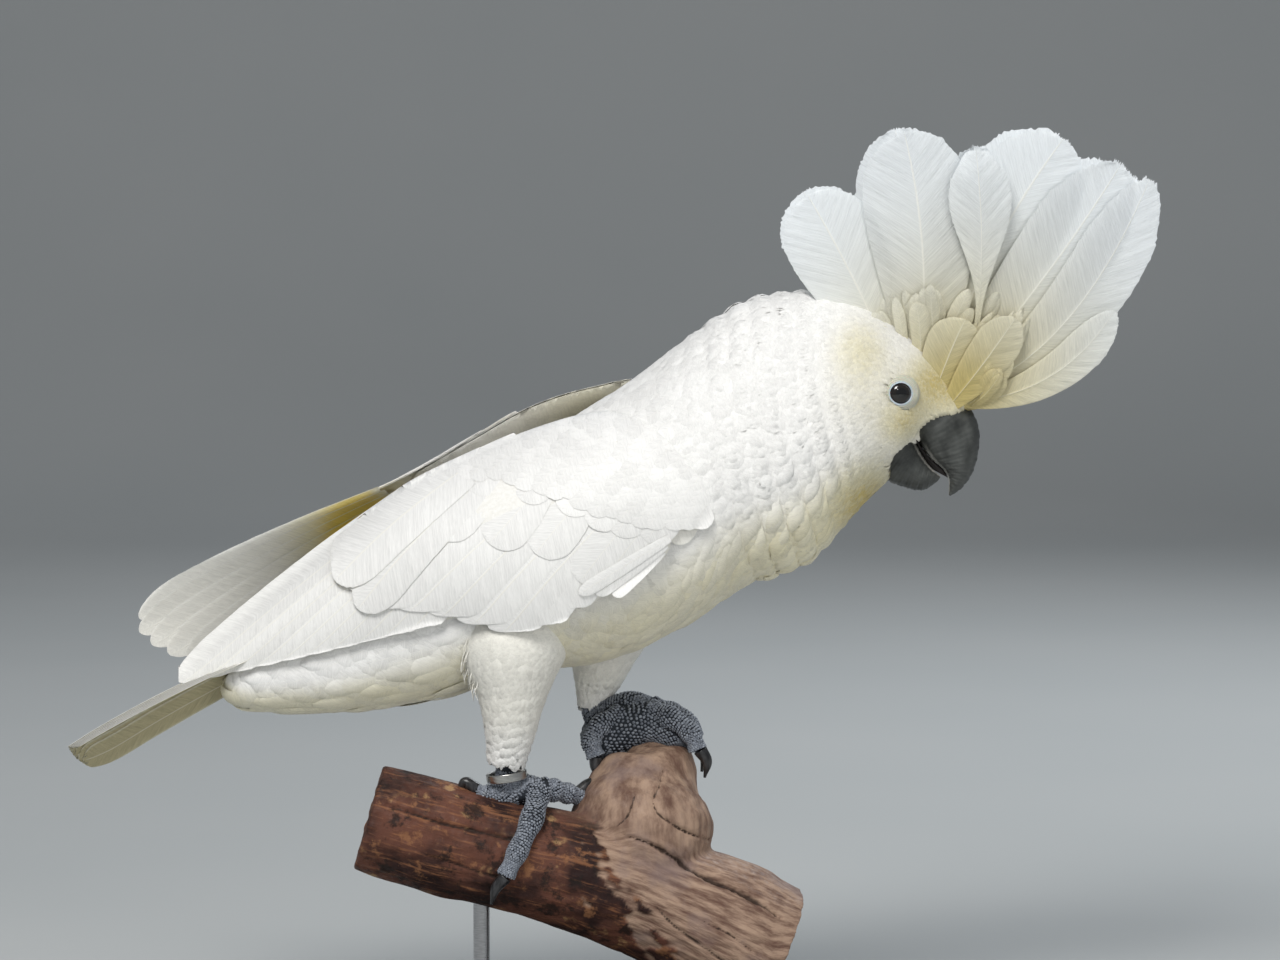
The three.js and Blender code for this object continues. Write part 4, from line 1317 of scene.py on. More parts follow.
def quill_piece(side, seed):
    """The flight feathers of one wing replace the two solids that stood for them."""
    solids = (f"wing_{side}_primaries", f"wing_{side}_secondaries")
    return feather_piece(f"wing_{side}_quills", flight_groups(side, seed), "plumage", FLIGHT_FEATHER, solids,
                         charts=True)


for wing_side, wing_seed in (("right", 50), ("left", 70)):
    quill_piece(wing_side, wing_seed)
    feather_piece(f"wing_{wing_side}_small_feathers", covert_groups(wing_side, wing_seed + 10), "plumage",
                  SOFT_FEATHER)

# %% [markdown]
# ## Tail
# Twelve long feathers lie fanned on one roof-shaped surface, the middle pair on top. White above, they are
# yellowish below, and the lower sheet is also dimmed with painted shade, where little light comes, which
# makes it look olive. The surface is a ridge line with a width, so a feather needs only its share of the
# width at each distance, and the fan opens as that share grows.

# %% Tail feathers
TAIL_RIDGE = mm([(-140, 190), (-160, 180), (-185, 169), (-210, 157), (-232, 145), (-247, 135)])
TAIL_WIDTH = mm([13, 16, 19, 22, 23, 14])


def tail_surface(t, x):
    """A place on the tail, t from root to tip and x from the right edge, -1, to the left one, 1."""
    ridge, width = spline(TAIL_RIDGE, t), spline(TAIL_WIDTH, t)
    drop = width * (0.42 * np.hypot(x, 0.25) + 0.4 * x)
    return np.stack([ridge[..., 0], width * x, ridge[..., 1] - drop], -1)


def tail_group(seed):
    """Six feathers a side. A feather's middle line lies at its rank's share of the tail's width, its own
    half width is a share of the width there, and it lies a little lower than the one inside it."""
    rng = np.random.default_rng(seed)
    shape = leaf(44, 13)
    rank = (np.repeat(np.arange(0.5, 6), 2) * np.tile([1, -1], 6))[:, None]
    s, w, face = shape["s"], shape["w"], shape["face"]
    jitter_along, jitter_across = ragged(shape, len(rank), 0.006, 0.03, rng)
    end = 1.0 - 0.004 * np.abs(rank) ** 1.7
    t = np.clip((s + jitter_along) * end, 0, 1)
    half = 9.2 * MM * (w * vane_outline(s, 0.75, 0.86, 0.15) + jitter_across)
    middle = rank / 5.5 * (0.5 + 0.2 * s)
    x = np.clip(middle + half / np.maximum(spline(TAIL_WIDTH, t), 12 * MM), -1.03, 1.03)
    place, _, _, out = slopes(tail_surface, t, x)
    height = -0.42 * MM * np.abs(rank) + 0.17 * MM * face - 0.5 * MM * w * np.sign(rank) * (1 - s) * 0.4
    points = place + out * height[..., None]
    vane = np.stack(np.broadcast_arrays(s, w, 118 * s - 800 * np.abs(half)), -1)
    below = np.broadcast_to((1 - face) / 2, t.shape)
    # The lower sheet gets a yellow tint of its own and a dimness of 0.45 that is painted shade on the
    # underside.
    return group_from(points, vane, tone_of(points, 0.03 + 0.57 * below, 0.45 * below, rng), shape)


feather_piece("tail_feathers", [tail_group(90)], "plumage", FLIGHT_FEATHER, ("tail",), charts=True)

# %% [markdown]
# ## Crest
# The fan of the crest is the bird's signature: broad rounded vanes on thin quills, so thin that light comes
# through, with frayed tips. Each feather's quill is a curve of the second degree in a plane that leans
# outwards, and the vane spreads across it. Low waves along the barbs and a light cup keep the big vanes
# from looking like card, and small feathers hide the quills' feet.

# %% Crest feathers
CREST_LEAN = math.radians(15)
CREST_FOOT = 290
ROUND_FROM = 0.72
CREST = np.array([
    # root x, z, bend x, z, tip x, z, width, layer
    (106, 304, 92, 338, 71, 373, 41, 3), (120, 300, 124, 350, 111, 400, 46, 5),
    (131, 298, 144, 350, 178, 397, 48, 3), (134, 292, 168, 328, 202, 386, 40, 5),
    (136, 288, 186, 305, 214, 380, 31, 7), (137, 286, 180, 288, 201, 325, 18, 9),
    (124, 284, 130, 305, 138, 322, 23, 10.5), (131, 284, 146, 302, 159, 323, 20, 12),
], float)
CREST_NAMES = ("hind", "crown", "top", "fore", "brow", "forehead", "short", "tuft")


def crest_plane(side, x, z, layer):
    """A place of the upright plane on one side's leaning plane, moved outwards by a layer."""
    z, layer = np.broadcast_arrays(z, layer)
    y = side * ((z - CREST_FOOT) * math.tan(CREST_LEAN) + layer * math.cos(CREST_LEAN))
    return MM * np.stack([x, y, z - layer * math.sin(CREST_LEAN)], -1)


def quill_curve(root, bend, tip, s):
    """A curve of the second degree through root and tip, drawn towards bend, and its direction."""
    s = s[..., None]
    place = (1 - s) ** 2 * root + 2 * s * (1 - s) * bend + s * s * tip
    return place, unit((1 - s) * (bend - root) + s * (tip - bend))


def crest_tint(points):
    """Yellow at the foot, then a long fade through cream to the crest's plain white, which is tinted blue as
    painted skylight.
    """
    away = np.hypot(points[..., 0] - 0.136, points[..., 2] - 0.288)
    return 0.3 * np.exp(-(away / 0.028) ** 2) + 0.42 * np.exp(-(away / 0.066) ** 2) + 0.03


def crest_vanes(root, bend, tip, normal, width, shape, rng, cup, stalk=0.0, at_u=0.0, at_v=0.0):
    """Feathers of the crest: rows of root, bend, tip, normal and width, all in metres. The vane's round end
    grows a little with the direction from its middle, which gives it shallow lobes, and its border points
    are pushed outwards by random amounts, which frays it. stalk bares the lower part of the quill."""
    s, w, face = shape["s"], shape["w"], shape["face"]
    count = len(root)
    close = np.sqrt(np.maximum(0.03, 1 - np.maximum(0, (s - ROUND_FROM) / (1 - ROUND_FROM)) ** 2))
    beyond = np.maximum(0, s - ROUND_FROM) / (1 - ROUND_FROM)
    angle = np.arctan2(w * close, beyond + 1e-3)
    lobes = np.sin(5 * angle + rng.uniform(0, 6, (count, 1))) + 0.6 * np.sin(
        11 * angle + rng.uniform(0, 6, (count, 1)))
    border = (np.maximum(np.abs(w), s) > 0.999) * smooth_step(s, 0.5, 0.8)
    grow = 0.009 * lobes * ((w * close) ** 2 + beyond ** 2) + 0.045 * border * rng.uniform(0, 1, (
        count, len(s))) ** 2
    along = s + (1 - ROUND_FROM) * beyond * grow
    place, ahead = quill_curve(root[:, None], bend[:, None], tip[:, None], along)
    across = unit(np.cross(np.broadcast_to(normal[:, None], ahead.shape), ahead))
    swell = 0.3 + 0.7 * np.sin(math.pi / 2 * np.minimum(1, s / 0.7))
    swell = swell * (1 - np.reshape(stalk, (-1, 1)) * (1 - smooth_step(s, 0.35, 0.95)))
    reach = width[:, None] / 2 * swell * close * w * (1 + grow)
    length = np.linalg.norm(tip - root, axis=-1)[:, None]
    barb = 1000 * (length * s - 0.9 * np.abs(reach))
    wave = 0.07 * np.sin(barb * 1.15 + rng.uniform(0, 6, (count, 1))) + 0.1 * np.sin(barb * 0.37)
    bow = cup[:, None] * width[:, None] * (w * w - 0.3) * swell * smooth_step(s, 0.0, 0.5)
    ridge = 0.35 * MM * np.exp(-(w / 0.05) ** 2) * (1.1 - s)
    height = MM * wave * smooth_step(np.abs(w), 0.0, 0.5) + bow + 0.13 * MM * face + ridge * face
    points = place + across * reach[..., None] + normal[:, None] * height[..., None]
    tint = crest_tint(points)
    tone = tone_of(points, tint, dusty(points, tint), rng)
    return group_from(points, np.stack(np.broadcast_arrays(s, w, barb), -1), tone, shape, at_u, at_v)


def crest_normals(side, count):
    """The way that one side's leaning plane faces, a row for each feather."""
    return np.broadcast_to([0, side * math.cos(CREST_LEAN), -math.sin(CREST_LEAN)], (count, 3))


def crest_group(side, shape, seed):
    """The large feathers of one side, from the crest's table."""
    rng = np.random.default_rng(seed)
    x, z, layer = CREST[:, 0:6:2], CREST[:, 1:6:2], CREST[:, 7:8]
    places = crest_plane(side, x, z, np.broadcast_to(layer, x.shape))
    cup = rng.uniform(-0.05, 0.02, len(CREST))
    return crest_vanes(*np.swapaxes(places, 0, 1), crest_normals(side, len(CREST)), MM * CREST[:, 6], shape,
                       rng, cup)


def middle_crest_group(shape, seed):
    """Two feathers in the middle of the crest. The second curls over to the right and has a bare quill."""
    places = mm([[(139, 0, 292), (139, -5, 292)], [(139, 0, 345), (149, -22, 330)],
                 [(144, 0, 392), (141, -36, 391)]])
    normals = unit(np.array([[0.5, -0.87, 0], [0, -1, -0.2]]))
    return crest_vanes(*places, normals, mm([36, 31]), shape, np.random.default_rng(seed),
                       np.array([0.03, -0.03]), (0.0, 0.9))


def crest_foot_group(side, count, seed):
    """Short feathers round the foot of one side's fan: their roots run back from the forehead over the
    crown, and they point between the large feathers next to them."""
    rng = np.random.default_rng(seed)
    k = np.sort(rng.uniform(0, 5, count))
    row = [np.interp(k, np.arange(6), CREST[:6, column]) for column in range(8)]
    reach = rng.uniform(0.2, 0.42, count) * np.interp(k, [0, 4, 5], [0.9, 0.9, 1.2])
    layer = row[7] + rng.uniform(-2, 5, count)
    root = crest_plane(side, row[0] + rng.normal(0, 2, count), row[1] - 4, layer * 0.6)
    bend = crest_plane(side, row[0] + (row[2] - row[0]) * reach, row[1] + (row[3] - row[1]) * reach, layer)
    tip = crest_plane(side, row[0] + (row[4] - row[0]) * reach + rng.normal(0, 2, count),
                      row[1] + (row[5] - row[1]) * reach, layer + 0.5)
    return crest_vanes(root, bend, tip, crest_normals(side, count), MM * rng.uniform(5, 9, count),
                       leaf(9, 9), rng, rng.uniform(-0.08, 0.0, count), at_u=0.9, at_v=0.2 + 0.12 * k)


CREST_LEAF = leaf(84, 33)
feather_piece("crest_foot", [crest_foot_group(-1, 90, 111), crest_foot_group(1, 90, 112)], "crest",
              CREST_FEATHER)
for side_name, side_sign in SIDES:
    solids = [f"crest_{side_name}_{name}" for name in CREST_NAMES]
    feather_piece(f"crest_{side_name}_feathers", [crest_group(side_sign, CREST_LEAF, 100 + side_sign)],
                  "crest", CREST_FEATHER, solids, charts=True)
feather_piece("crest_middle_feather", [middle_crest_group(CREST_LEAF, 103)], "crest", CREST_FEATHER,
              ("crest_middle",), charts=True)

# %% [markdown]
# ## Eyes
# The eye is a dark glossy ball set in a ring of bare bluish skin with fine circular folds. The ring is a
# closed profile turned around the eye's axis, higher at the lid's rim, and it slips under the face feathers
# outside.

# %% Eyes
def half_width_at(x, z):
    """Half the body's width at a place seen from the side, read from the closest oval."""
    t = np.linspace(0, 1, 801)
    top, low = spline(BACK, t), spline(BELLY, t)
    up = top - low
    half = np.linalg.norm(up, axis=-1) / 2
    offset = MM * np.array([x, z]) - (top + low) / 2
    y = np.sum(offset * up, -1) / (2 * half * half)
    miss = np.linalg.norm(offset - up / 2 * y[:, None], axis=-1)
    width = spline(FLANK, t) * np.sqrt(np.maximum(0, 1 - y * y)) * (1 - NARROWER_ABOVE * y)
    return width[np.argmin(miss)]


EYE_DEPTH = half_width_at(EYE["x"], EYE["z"]) - MM * (EYE["radius"] - EYE["proud"])
LID_PROFILE = mm([(4.3, 2.7), (4.4, 4.1), (4.65, 4.6), (5.0, 4.55), (5.5, 4.25), (6.2, 3.8),
                             (6.9, 3.25), (7.6, 2.5), (8.3, 1.5), (8.8, 0.5), (6.6, 0.6), (4.8, 2.0)])


def eye_axis(side):
    """The centre of an eye and three directions: out of the head, forwards and up."""
    centre = np.array([MM * EYE["x"], side * EYE_DEPTH, MM * EYE["z"]])
    out = unit(np.array([0.2, side, 0.06]))
    up = unit(np.cross(out, np.array([1.0, 0, 0])) * -side)
    return centre, out, np.cross(up, out), up


def eyeball(side):
    """A ball, a little flatter at the front, by the angle a from the eye's axis and the angle b round it."""
    centre, out, right, up = eye_axis(side)
    a, b = tube_grid(0.02, math.pi - 0.02, 40, 64)
    radius = MM * EYE["radius"] * (1 - 0.02 * (a < 0.5))
    ball = np.sin(a)[..., None] * (np.cos(b)[..., None] * right + np.sin(b)[..., None] * up)
    return closed_tube(centre + radius[..., None] * (ball + np.cos(a)[..., None] * out), flip=True)


def lid(side):
    """The lid's closed profile, at a distance r from the axis and a height h, turned round it by angle a.
    Sine waves across it make the folds, and waves round it the pucker of the rim."""
    centre, out, right, up = eye_axis(side)
    a, k = np.meshgrid(turn_of(120), np.linspace(0, 1, 73)[:-1], indexing="ij")
    ring = np.vstack([LID_PROFILE, LID_PROFILE[:1]])
    flat = spline(ring, k)
    r, h = flat[..., 0], flat[..., 1]
    folds = 0.17 * MM * np.sin(r / MM * 8.5 + 1.2 * np.sin(2 * a))
    folds = folds * smooth_step(r / MM, 4.5, 5.0) * (h > 2.5 * MM)
    pucker = 0.06 * MM * np.sin(26 * a + 3 * np.sin(2 * a)) * (1 - smooth_step(r / MM, 4.0, 6.0))
    r = r * (1 + 0.05 * np.cos(2 * a)) + pucker
    spoke = np.cos(a)[..., None] * right + np.sin(a)[..., None] * up
    points = centre + r[..., None] * spoke + (h + folds)[..., None] * out
    return points.reshape(-1, 3), ring_quads(*a.shape), r


def eye_finish():
    """A dark brown iris around a black pupil, under a clear coat."""
    material, tree, shader = finish_of("eye", Roughness=0.12, Specular_IOR_Level=0.6, Coat_Weight=0.5,
                                       Coat_Roughness=0.02)
    radial = kept(tree, "radial", "Fac")
    streaks = noise(object_place(tree), 900.0, 3.0)
    iris = mix_colours(streaks, (0.004, 0.003, 0.002, 1), (0.012, 0.008, 0.005, 1))
    put_on(shader, mix_colours(ramp(radial, 0.42, 0.5), (0.0015, 0.0012, 0.001, 1), iris))
    return material


def lid_finish():
    """Bare bluish skin at the rim that turns to the face's cream outside, with dark lines of painted shade
    in its folds.
    """
    material, tree, shader = finish_of("eyelid", Roughness=0.55, Subsurface_Weight=0.15,
                                       Subsurface_Scale=0.002)
    radial = kept(tree, "radial", "Fac")
    spots = noise(object_place(tree), 1400.0, 3.0)
    colour = mix_colours(spots, (0.47, 0.47, 0.39, 1), (0.61, 0.60, 0.49, 1))
    colour = mix_colours(ramp(radial, 4.95, 5.7), (0.50, 0.57, 0.62, 1), colour)
    # Dark rings at the folds' spacing: painted shade in the creases of the skin.
    wander = math_node("MULTIPLY_ADD", radial, 8.5, product(spots, 2.0))
    line = ramp(math_node("SINE", wander), 0.2, 1.0, 0.0, 0.6)
    line = product(line, ramp(radial, 4.6, 5.0))
    colour = mix_colours(line, colour, (0.30, 0.31, 0.26, 1))
    colour = mix_colours(ramp(radial, 4.3, 4.6), (0.05, 0.06, 0.075, 1), colour)
    put_on(shader, colour, spots, 0.4, 0.0003)
    return material


EYE_FINISH, LID_FINISH = eye_finish(), lid_finish()
for side_name, side_sign in SIDES:
    points, faces = eyeball(side_sign)
    ball = new_object(f"eyeball_{side_name}", points, faces, "eye", (f"eye_{side_name}",))
    centre, out, _, _ = eye_axis(side_sign)
    store(ball, "radial", np.arccos(np.clip((points - centre) @ out / (MM * EYE["radius"]), -1, 1)))
    ball.data.materials.append(EYE_FINISH)
    points, faces, radius = lid(side_sign)
    eyelid = new_object(f"eyelid_{side_name}", points, faces, "foot_skin")
    store(eyelid, "radial", (radius / MM).ravel())
    eyelid.data.materials.append(LID_FINISH)
print("eye depth in mm:", round(1000 * float(EYE_DEPTH), 1))

# %% [markdown]
# ## Bill
# A cockatoo's bill is grey-black horn under a chalky bloom. It grows in layers from its base, which leaves
# low ridges across it, and the cutting edges chip. Both halves are ovals between two outlines.

# %% Bill
UPPER_RIDGE = mm([(131, 286), (141, 281), (145.5, 272), (145.5, 262), (143, 252.5), (138.5, 246),
                  (133.5, 242.5)])
UPPER_EDGE = mm([(114, 275), (118, 269), (121.5, 263), (125.5, 258), (130, 254.5), (132.5, 250),
                 (132.8, 243)])
LOWER_EDGE = mm([(112, 274), (117.2, 267.8), (120.5, 261.2), (124.5, 255.4), (129.2, 251)])
LOWER_KEEL = mm([(101, 258), (104.5, 250.5), (113, 246.5), (121.5, 245), (127.5, 248.5)])


def horn(upper, lower, width, narrower, seed, rows=120, cols=100):
    """Half a bill: ovals from the lower outline up to the upper one, with growth ridges across and a faint
    unevenness over all but its tip."""
    t, a = tube_grid(0, 1, rows, cols)
    top, low = spline(upper, t), spline(lower, t)
    x, y = np.cos(a), np.sin(a)
    middle = (top + low) / 2
    half = np.linalg.norm(top - low, axis=-1) / 2
    rough = 0.1 * np.sin(70 * t + 2 * np.sin(2 * a)) + 0.07 * np.sin(151 * t + 3 * y + 1.3)
    grown = MM * rough * smooth_step(t, 0, 0.1) * (1 - smooth_step(t, 0.9, 1))
    place = middle + (top - low) / 2 * (y * (1 + grown / half))[..., None]
    side = (spline(mm(width), t) + grown) * x * (1 - narrower * y)
    points = np.stack([place[..., 0], side, place[..., 1]], -1)
    grain = ripple(points, 0.006, seed)[..., None] * 0.07 * MM
    points = points + grain * unit(np.stack([0 * x, x, y], -1)) * smooth_step(1 - t, 0, 0.15)[..., None]
    return closed_tube(points), np.append(y.ravel(), [0, 0]), np.append(t.ravel(), [0, 1])


def horn_finish():
    """Dark horn: streaks along the growth, fine scratches, and a pale bloom away from the edge."""
    material, tree, shader = finish_of("bill_horn", Specular_IOR_Level=0.4)
    place = object_place(tree)
    up = kept(tree, "rise", "Fac")
    along = kept(tree, "grown", "Fac")
    broad = noise(place, 90.0, 4.0)
    layers = noise(kept(tree, "growth"), 1.0, 3.0, 0.5)
    scratches = noise(place, 500.0, 3.0, 0.6, (1, 0.6, 3.5))
    bloom = math_node("MULTIPLY_ADD", ramp(layers, 0.35, 0.65), 0.14,
                      ramp(broad, 0.3, 0.7, 0.0, 0.85))
    middle = ramp(math_node("ABSOLUTE", up), 1.0, 0.6, 0.35, 1.0)
    bloom = product(bloom, middle)
    colour = mix_colours(bloom, (0.028, 0.030, 0.028, 1), (0.092, 0.097, 0.092, 1))
    colour = mix_colours(ramp(scratches, 0.62, 0.78, 0.0, 0.35), colour, (0.17, 0.175, 0.165, 1))
    edge = product(ramp(up, -0.8, -0.9), ramp(along, 0.2, 0.45))
    colour = mix_colours(product(edge, 0.85), colour, (0.46, 0.45, 0.41, 1))
    bump = math_node("MULTIPLY_ADD", layers, 0.5, product(scratches, 0.4))
    put_on(shader, colour, bump, 0.3, 0.0003, ramp(bloom, 0, 1, 0.32, 0.62))
    return material


# A near-black sheet between the halves of the bill: painted shade in the gap of the open bill.
def mouth_shade_finish():
    material, tree, shader = finish_of("mouth", Roughness=0.6)
    patch = noise(object_place(tree), 300.0, 3.0)
    colour = mix_colours(patch, (0.006, 0.005, 0.005, 1), (0.02, 0.015, 0.014, 1))
    put_on(shader, colour, patch, 0.3, 0.0003)
    return material


HORN = horn_finish()
EDGE_UP, EDGE_DOWN = (spline(line, np.linspace(0, 0.82, 8)) for line in (UPPER_EDGE, LOWER_EDGE))
(points, faces), _, _ = horn(EDGE_UP, EDGE_DOWN, [9, 8, 7, 6, 4.5, 3, 1.5], 0.0, 3, 50, 40)
# The dark sheet between the bill's halves is painted shade.
mouth_shade = new_object("mouth_painted_shade", points, faces, "bill")
mouth_shade.data.materials.append(mouth_shade_finish())
UPPER_WIDTHS, LOWER_WIDTHS = [14.5, 13.2, 11.2, 9, 6.5, 4, 1.2], [15, 13, 9.5, 6, 2]
for solid, half_horn in (("bill_upper", horn(UPPER_RIDGE, UPPER_EDGE, UPPER_WIDTHS, 0.25, 1)),
                         ("bill_lower", horn(LOWER_EDGE, LOWER_KEEL, LOWER_WIDTHS, -0.15, 2))):
    (points, faces), rise, grown = half_horn
    half_bill = new_object(f"{solid}_horn", points, faces, "bill", (solid,))
    store(half_bill, "rise", rise if solid == "bill_upper" else -rise)
    store(half_bill, "grown", grown)
    store(half_bill, "growth", np.stack([grown * 3, points[:, 1] / MM * 0.15, rise * 6], -1))
    half_bill.data.materials.append(HORN)

# %% [markdown]
# ## Feet
# Small raised scales cover the blue-grey toes, round and pebbly at the sides and wider across the top. They
# could be carved into the skin, but as separate thin plates they catch the light at their edges. Each is a
# leaf that lies towards the claw, set in rows shifted by half a step. The skin between them is near-black,
# partly its own dark colour and partly painted shade in the gaps.

# %% Scaly feet
def scale_rows(length, girth, size, seed):
    """Roots of scales on a limb: rows a step apart along it, each row shifted by half a scale."""
    rng = np.random.default_rng(seed)
    rows, cols = max(3, round(length / (0.72 * size))), max(6, round(girth / size))
    i, j = np.meshgrid(np.arange(rows), np.arange(cols), indexing="ij")
    t = (i + 0.3 + rng.uniform(-0.18, 0.18, i.shape)) / rows * 0.97
    a = FULL_TURN * (j + 0.5 * (i % 2) + rng.uniform(-0.18, 0.18, i.shape)) / cols
    return t.ravel(), a.ravel()


def scale_group(path, radii, size, at, seed):
    """The scales of one toe or shank. Their tone is how far they face up, how pale they are and a random
    number."""
    rng = np.random.default_rng(seed)
    path = mm(path)

    def surface(t, a):
        return limb(path, radii, t, a, SCALE_COAT)

    t, a = scale_rows(path_length(path), FULL_TURN * radii.mean(), size, seed)
    _, along, _, out = slopes(surface, t, a)
    upper = smooth_step(out[:, 2], 0.2, 0.9)
    wide = size * (0.84 + 0.2 * upper) * rng.uniform(0.85, 1.1, len(t))
    shape = leaf(4, 4, 1.0)
    points, vane, _ = lay_feathers(
        surface, t, a, unit(along), 0.86 * size * rng.uniform(0.88, 1.1, len(t)), wide, shape, 0.25 * MM,
        0.1 * MM, rng, cup=0.12, rough=0.03, quill=0.72, widest=0.45, sweep=0.0, thick=0.35 * MM)
    tone = tone_of(points, upper[:, None] + 0 * points[..., 0], rng.uniform(0, 1, (len(t), 1)), rng)
    return group_from(points, vane, tone, shape, (at + 0.9 * t) / 7, (a / FULL_TURN) % 1)


def scale_finish():
    """Blue-grey scales, some paler than others, with rims darkened as painted shade where they dip into the
    gaps, and patches of pale dust.
    """
    material, tree, shader = finish_of("foot_scales", Roughness=0.5, Specular_IOR_Level=0.4)
    s, w, _ = split(kept(tree, "vane"))
    _, shade, _ = split(kept(tree, "tone"))
    rim = math_node("MAXIMUM", math_node("ABSOLUTE", w), s)
    dust = noise(object_place(tree), 700.0, 3.0)
    colour = mix_colours(shade, (0.12, 0.135, 0.165, 1), (0.25, 0.275, 0.32, 1))
    # Darker towards each scale's rim: painted shade where the scale dips into the gaps.
    colour = mix_colours(ramp(rim, 0.62, 1.0, 0.0, 0.4), colour, (0.04, 0.047, 0.058, 1))
    dusted = product(ramp(dust, 0.5, 0.75), 0.35)
    colour = mix_colours(dusted, colour, (0.27, 0.275, 0.28, 1))
    put_on(shader, colour, dust, 0.35, 0.0003)
    return material


def claw_finish():
    material, tree, shader = finish_of("claw_horn", Roughness=0.3, Specular_IOR_Level=0.5)
    streaks = noise(object_place(tree), 300.0, 4.0, 0.6, (1, 1, 0.25))
    pale = ramp(streaks, 0.4, 0.7)
    colour = mix_colours(pale, (0.012, 0.012, 0.013, 1), (0.06, 0.06, 0.063, 1))
    put_on(shader, colour, streaks, 0.3, 0.0002)
    return material


FOOT_SCALES, CLAW_HORN = scale_finish(), claw_finish()
for side_name, leg in LEGS.items():
    groups = [scale_group(path, mm(radii), 1.55 * MM, n, 200 + n)
              for n, (path, radii) in enumerate((leg["shank"], leg["palm"]))]
    groups += [scale_group(path, TOE_RADII, 1.5 * MM, n + 2, 210 + n) for n, path in enumerate(leg["toes"])]
    feather_piece(f"foot_{side_name}_scales", groups, "foot_skin", FOOT_SCALES)
    tubes = [limb_tube(mm(path), CLAW_RADII * 0.97, 36, 24) for path in leg["claws"]]
    claws = new_object(f"claws_{side_name}", *join_parts(tubes), "claw",
                       [f"claw_{side_name}_{n}" for n in (1, 2, 3, 4)])
    claws.data.materials.append(CLAW_HORN)

# %% [markdown]
# ### Leg ring
# A plain steel identity band sits loosely round the right shank, slightly tilted. Its rounded section is
# turned round the leg, and the metal is brushed along the turn.

# %% Ring
RING = {"x": -57, "y": -22, "z": 124.2, "inner": 7.6, "outer": 8.8, "height": 3.6, "tilt": math.radians(8)}


def ring_band():
    """A tube round the leg whose section is an oval pressed towards a rectangle, tilted about its middle."""
    rows, cols = 120, 28
    a, b = np.meshgrid(turn_of(rows), turn_of(cols), indexing="ij")
    thick, tall = (RING["outer"] - RING["inner"]) / 2, RING["height"] / 2
    r = (RING["outer"] + RING["inner"]) / 2 + thick * np.sign(np.cos(b)) * np.abs(np.cos(b)) ** 0.35
    z = tall * np.sign(np.sin(b)) * np.abs(np.sin(b)) ** 0.45
    x, y = r * np.cos(a), r * np.sin(a)
    turn, lean = math.cos(RING["tilt"]), math.sin(RING["tilt"])
    points = np.stack([RING["x"] + x * turn - z * lean, RING["y"] + y, RING["z"] + x * lean + z * turn], -1)
    return MM * points, ring_quads(rows, cols)


def steel_finish(name, rough, colour):
    """Brushed steel: noise stretched along the turn, with a smudge in its roughness."""
    material, tree, shader = finish_of(name, Metallic=1.0)
    place = object_place(tree)
    brushed = noise(place, 260.0, 4.0, 0.6, (1, 1, 9))
    smudge = noise(place, 60.0, 3.0)
    dark = tuple(0.72 * c for c in colour[:3]) + (1,)
    metal = mix_colours(ramp(brushed, 0.3, 0.7), dark, colour)
    put_on(shader, metal, brushed, 0.25, 0.0002, ramp(smudge, 0.3, 0.7, rough * 0.8, rough * 1.4))
    return material


band = new_object("leg_band", *ring_band(), "ring", ("leg_ring",))
band.data.materials.append(steel_finish("band_steel", 0.26, (0.62, 0.61, 0.58, 1)))

# %% [markdown]
# ## Branch
# The bird grips the stub of a cut branch on a weathered limb. The limb and the stub are two tubes that a
# voxel remesh melts together. Long cracks, ragged bark edges and worn grain are then pressed into the
# points along their normals, and the same numbers colour the wood: reddish bark at the left, bare grey-pink
# wood on the stub and the right.

# %% Perch form
LIMB_COURSE = mm([(-116, -22, 106.5), (-77, -21, 95), (-34, -18, 84), (0, -10, 72), (34, -4, 56),
                  (57, 0, 44)])
STUB_COURSE = mm([(3, -6, 62), (1, -2, 98), (3, 5, 114), (7, 10, 126), (6.5, 12, 133), (6.5, 12, 137)])
WOOD_VOXEL = 1.0 * MM
PERCH_TIMES = np.linspace(0, 1, 41)
LIMB_RADII = MM * spline([23, 24, 24.5, 27.5, 31, 31], PERCH_TIMES) * (1 + 0.02 * np.sin(17 * PERCH_TIMES))
STUB_RADII = MM * spline([22, 31, 27, 18, 11, 3], PERCH_TIMES) * (1 + 0.02 * np.sin(11 * PERCH_TIMES))


def along_line(points, line):
    """How far along a line each point's nearest place is, as a share, and how far away it lies."""
    best, share = np.full(len(points), 9.0), np.zeros(len(points))
    total = len(line) - 1
    for k in range(total):
        step = line[k + 1] - line[k]
        part = np.clip((points - line[k]) @ step / (step @ step), 0, 1)
        away = np.linalg.norm(points - line[k] - part[:, None] * step, axis=-1)
        nearer = away < best
        best = np.where(nearer, away, best)
        share = np.where(nearer, (k + part) / total, share)
    return share, best


def crack(points, line, width, seed):
    """How many half widths each point lies from a crack on the side towards the camera: a line of x, z
    places whose width wanders and falls to nothing at its ends."""
    share, away = along_line(points[:, ::2], course(mm(line), np.linspace(0, 1, 40)))
    fade = np.sin(math.pi * np.clip(share, 0.01, 0.99)) ** 0.6 * smooth_step(-points[:, 1], 0.0, 0.008)
    away = away + 0.2 * MM * (1 + ripple(points, 0.005, seed))
    return np.minimum(away / (width * MM * (1 + 0.3 * ripple(points, 0.02, seed)) * fade + 1e-5), 6)


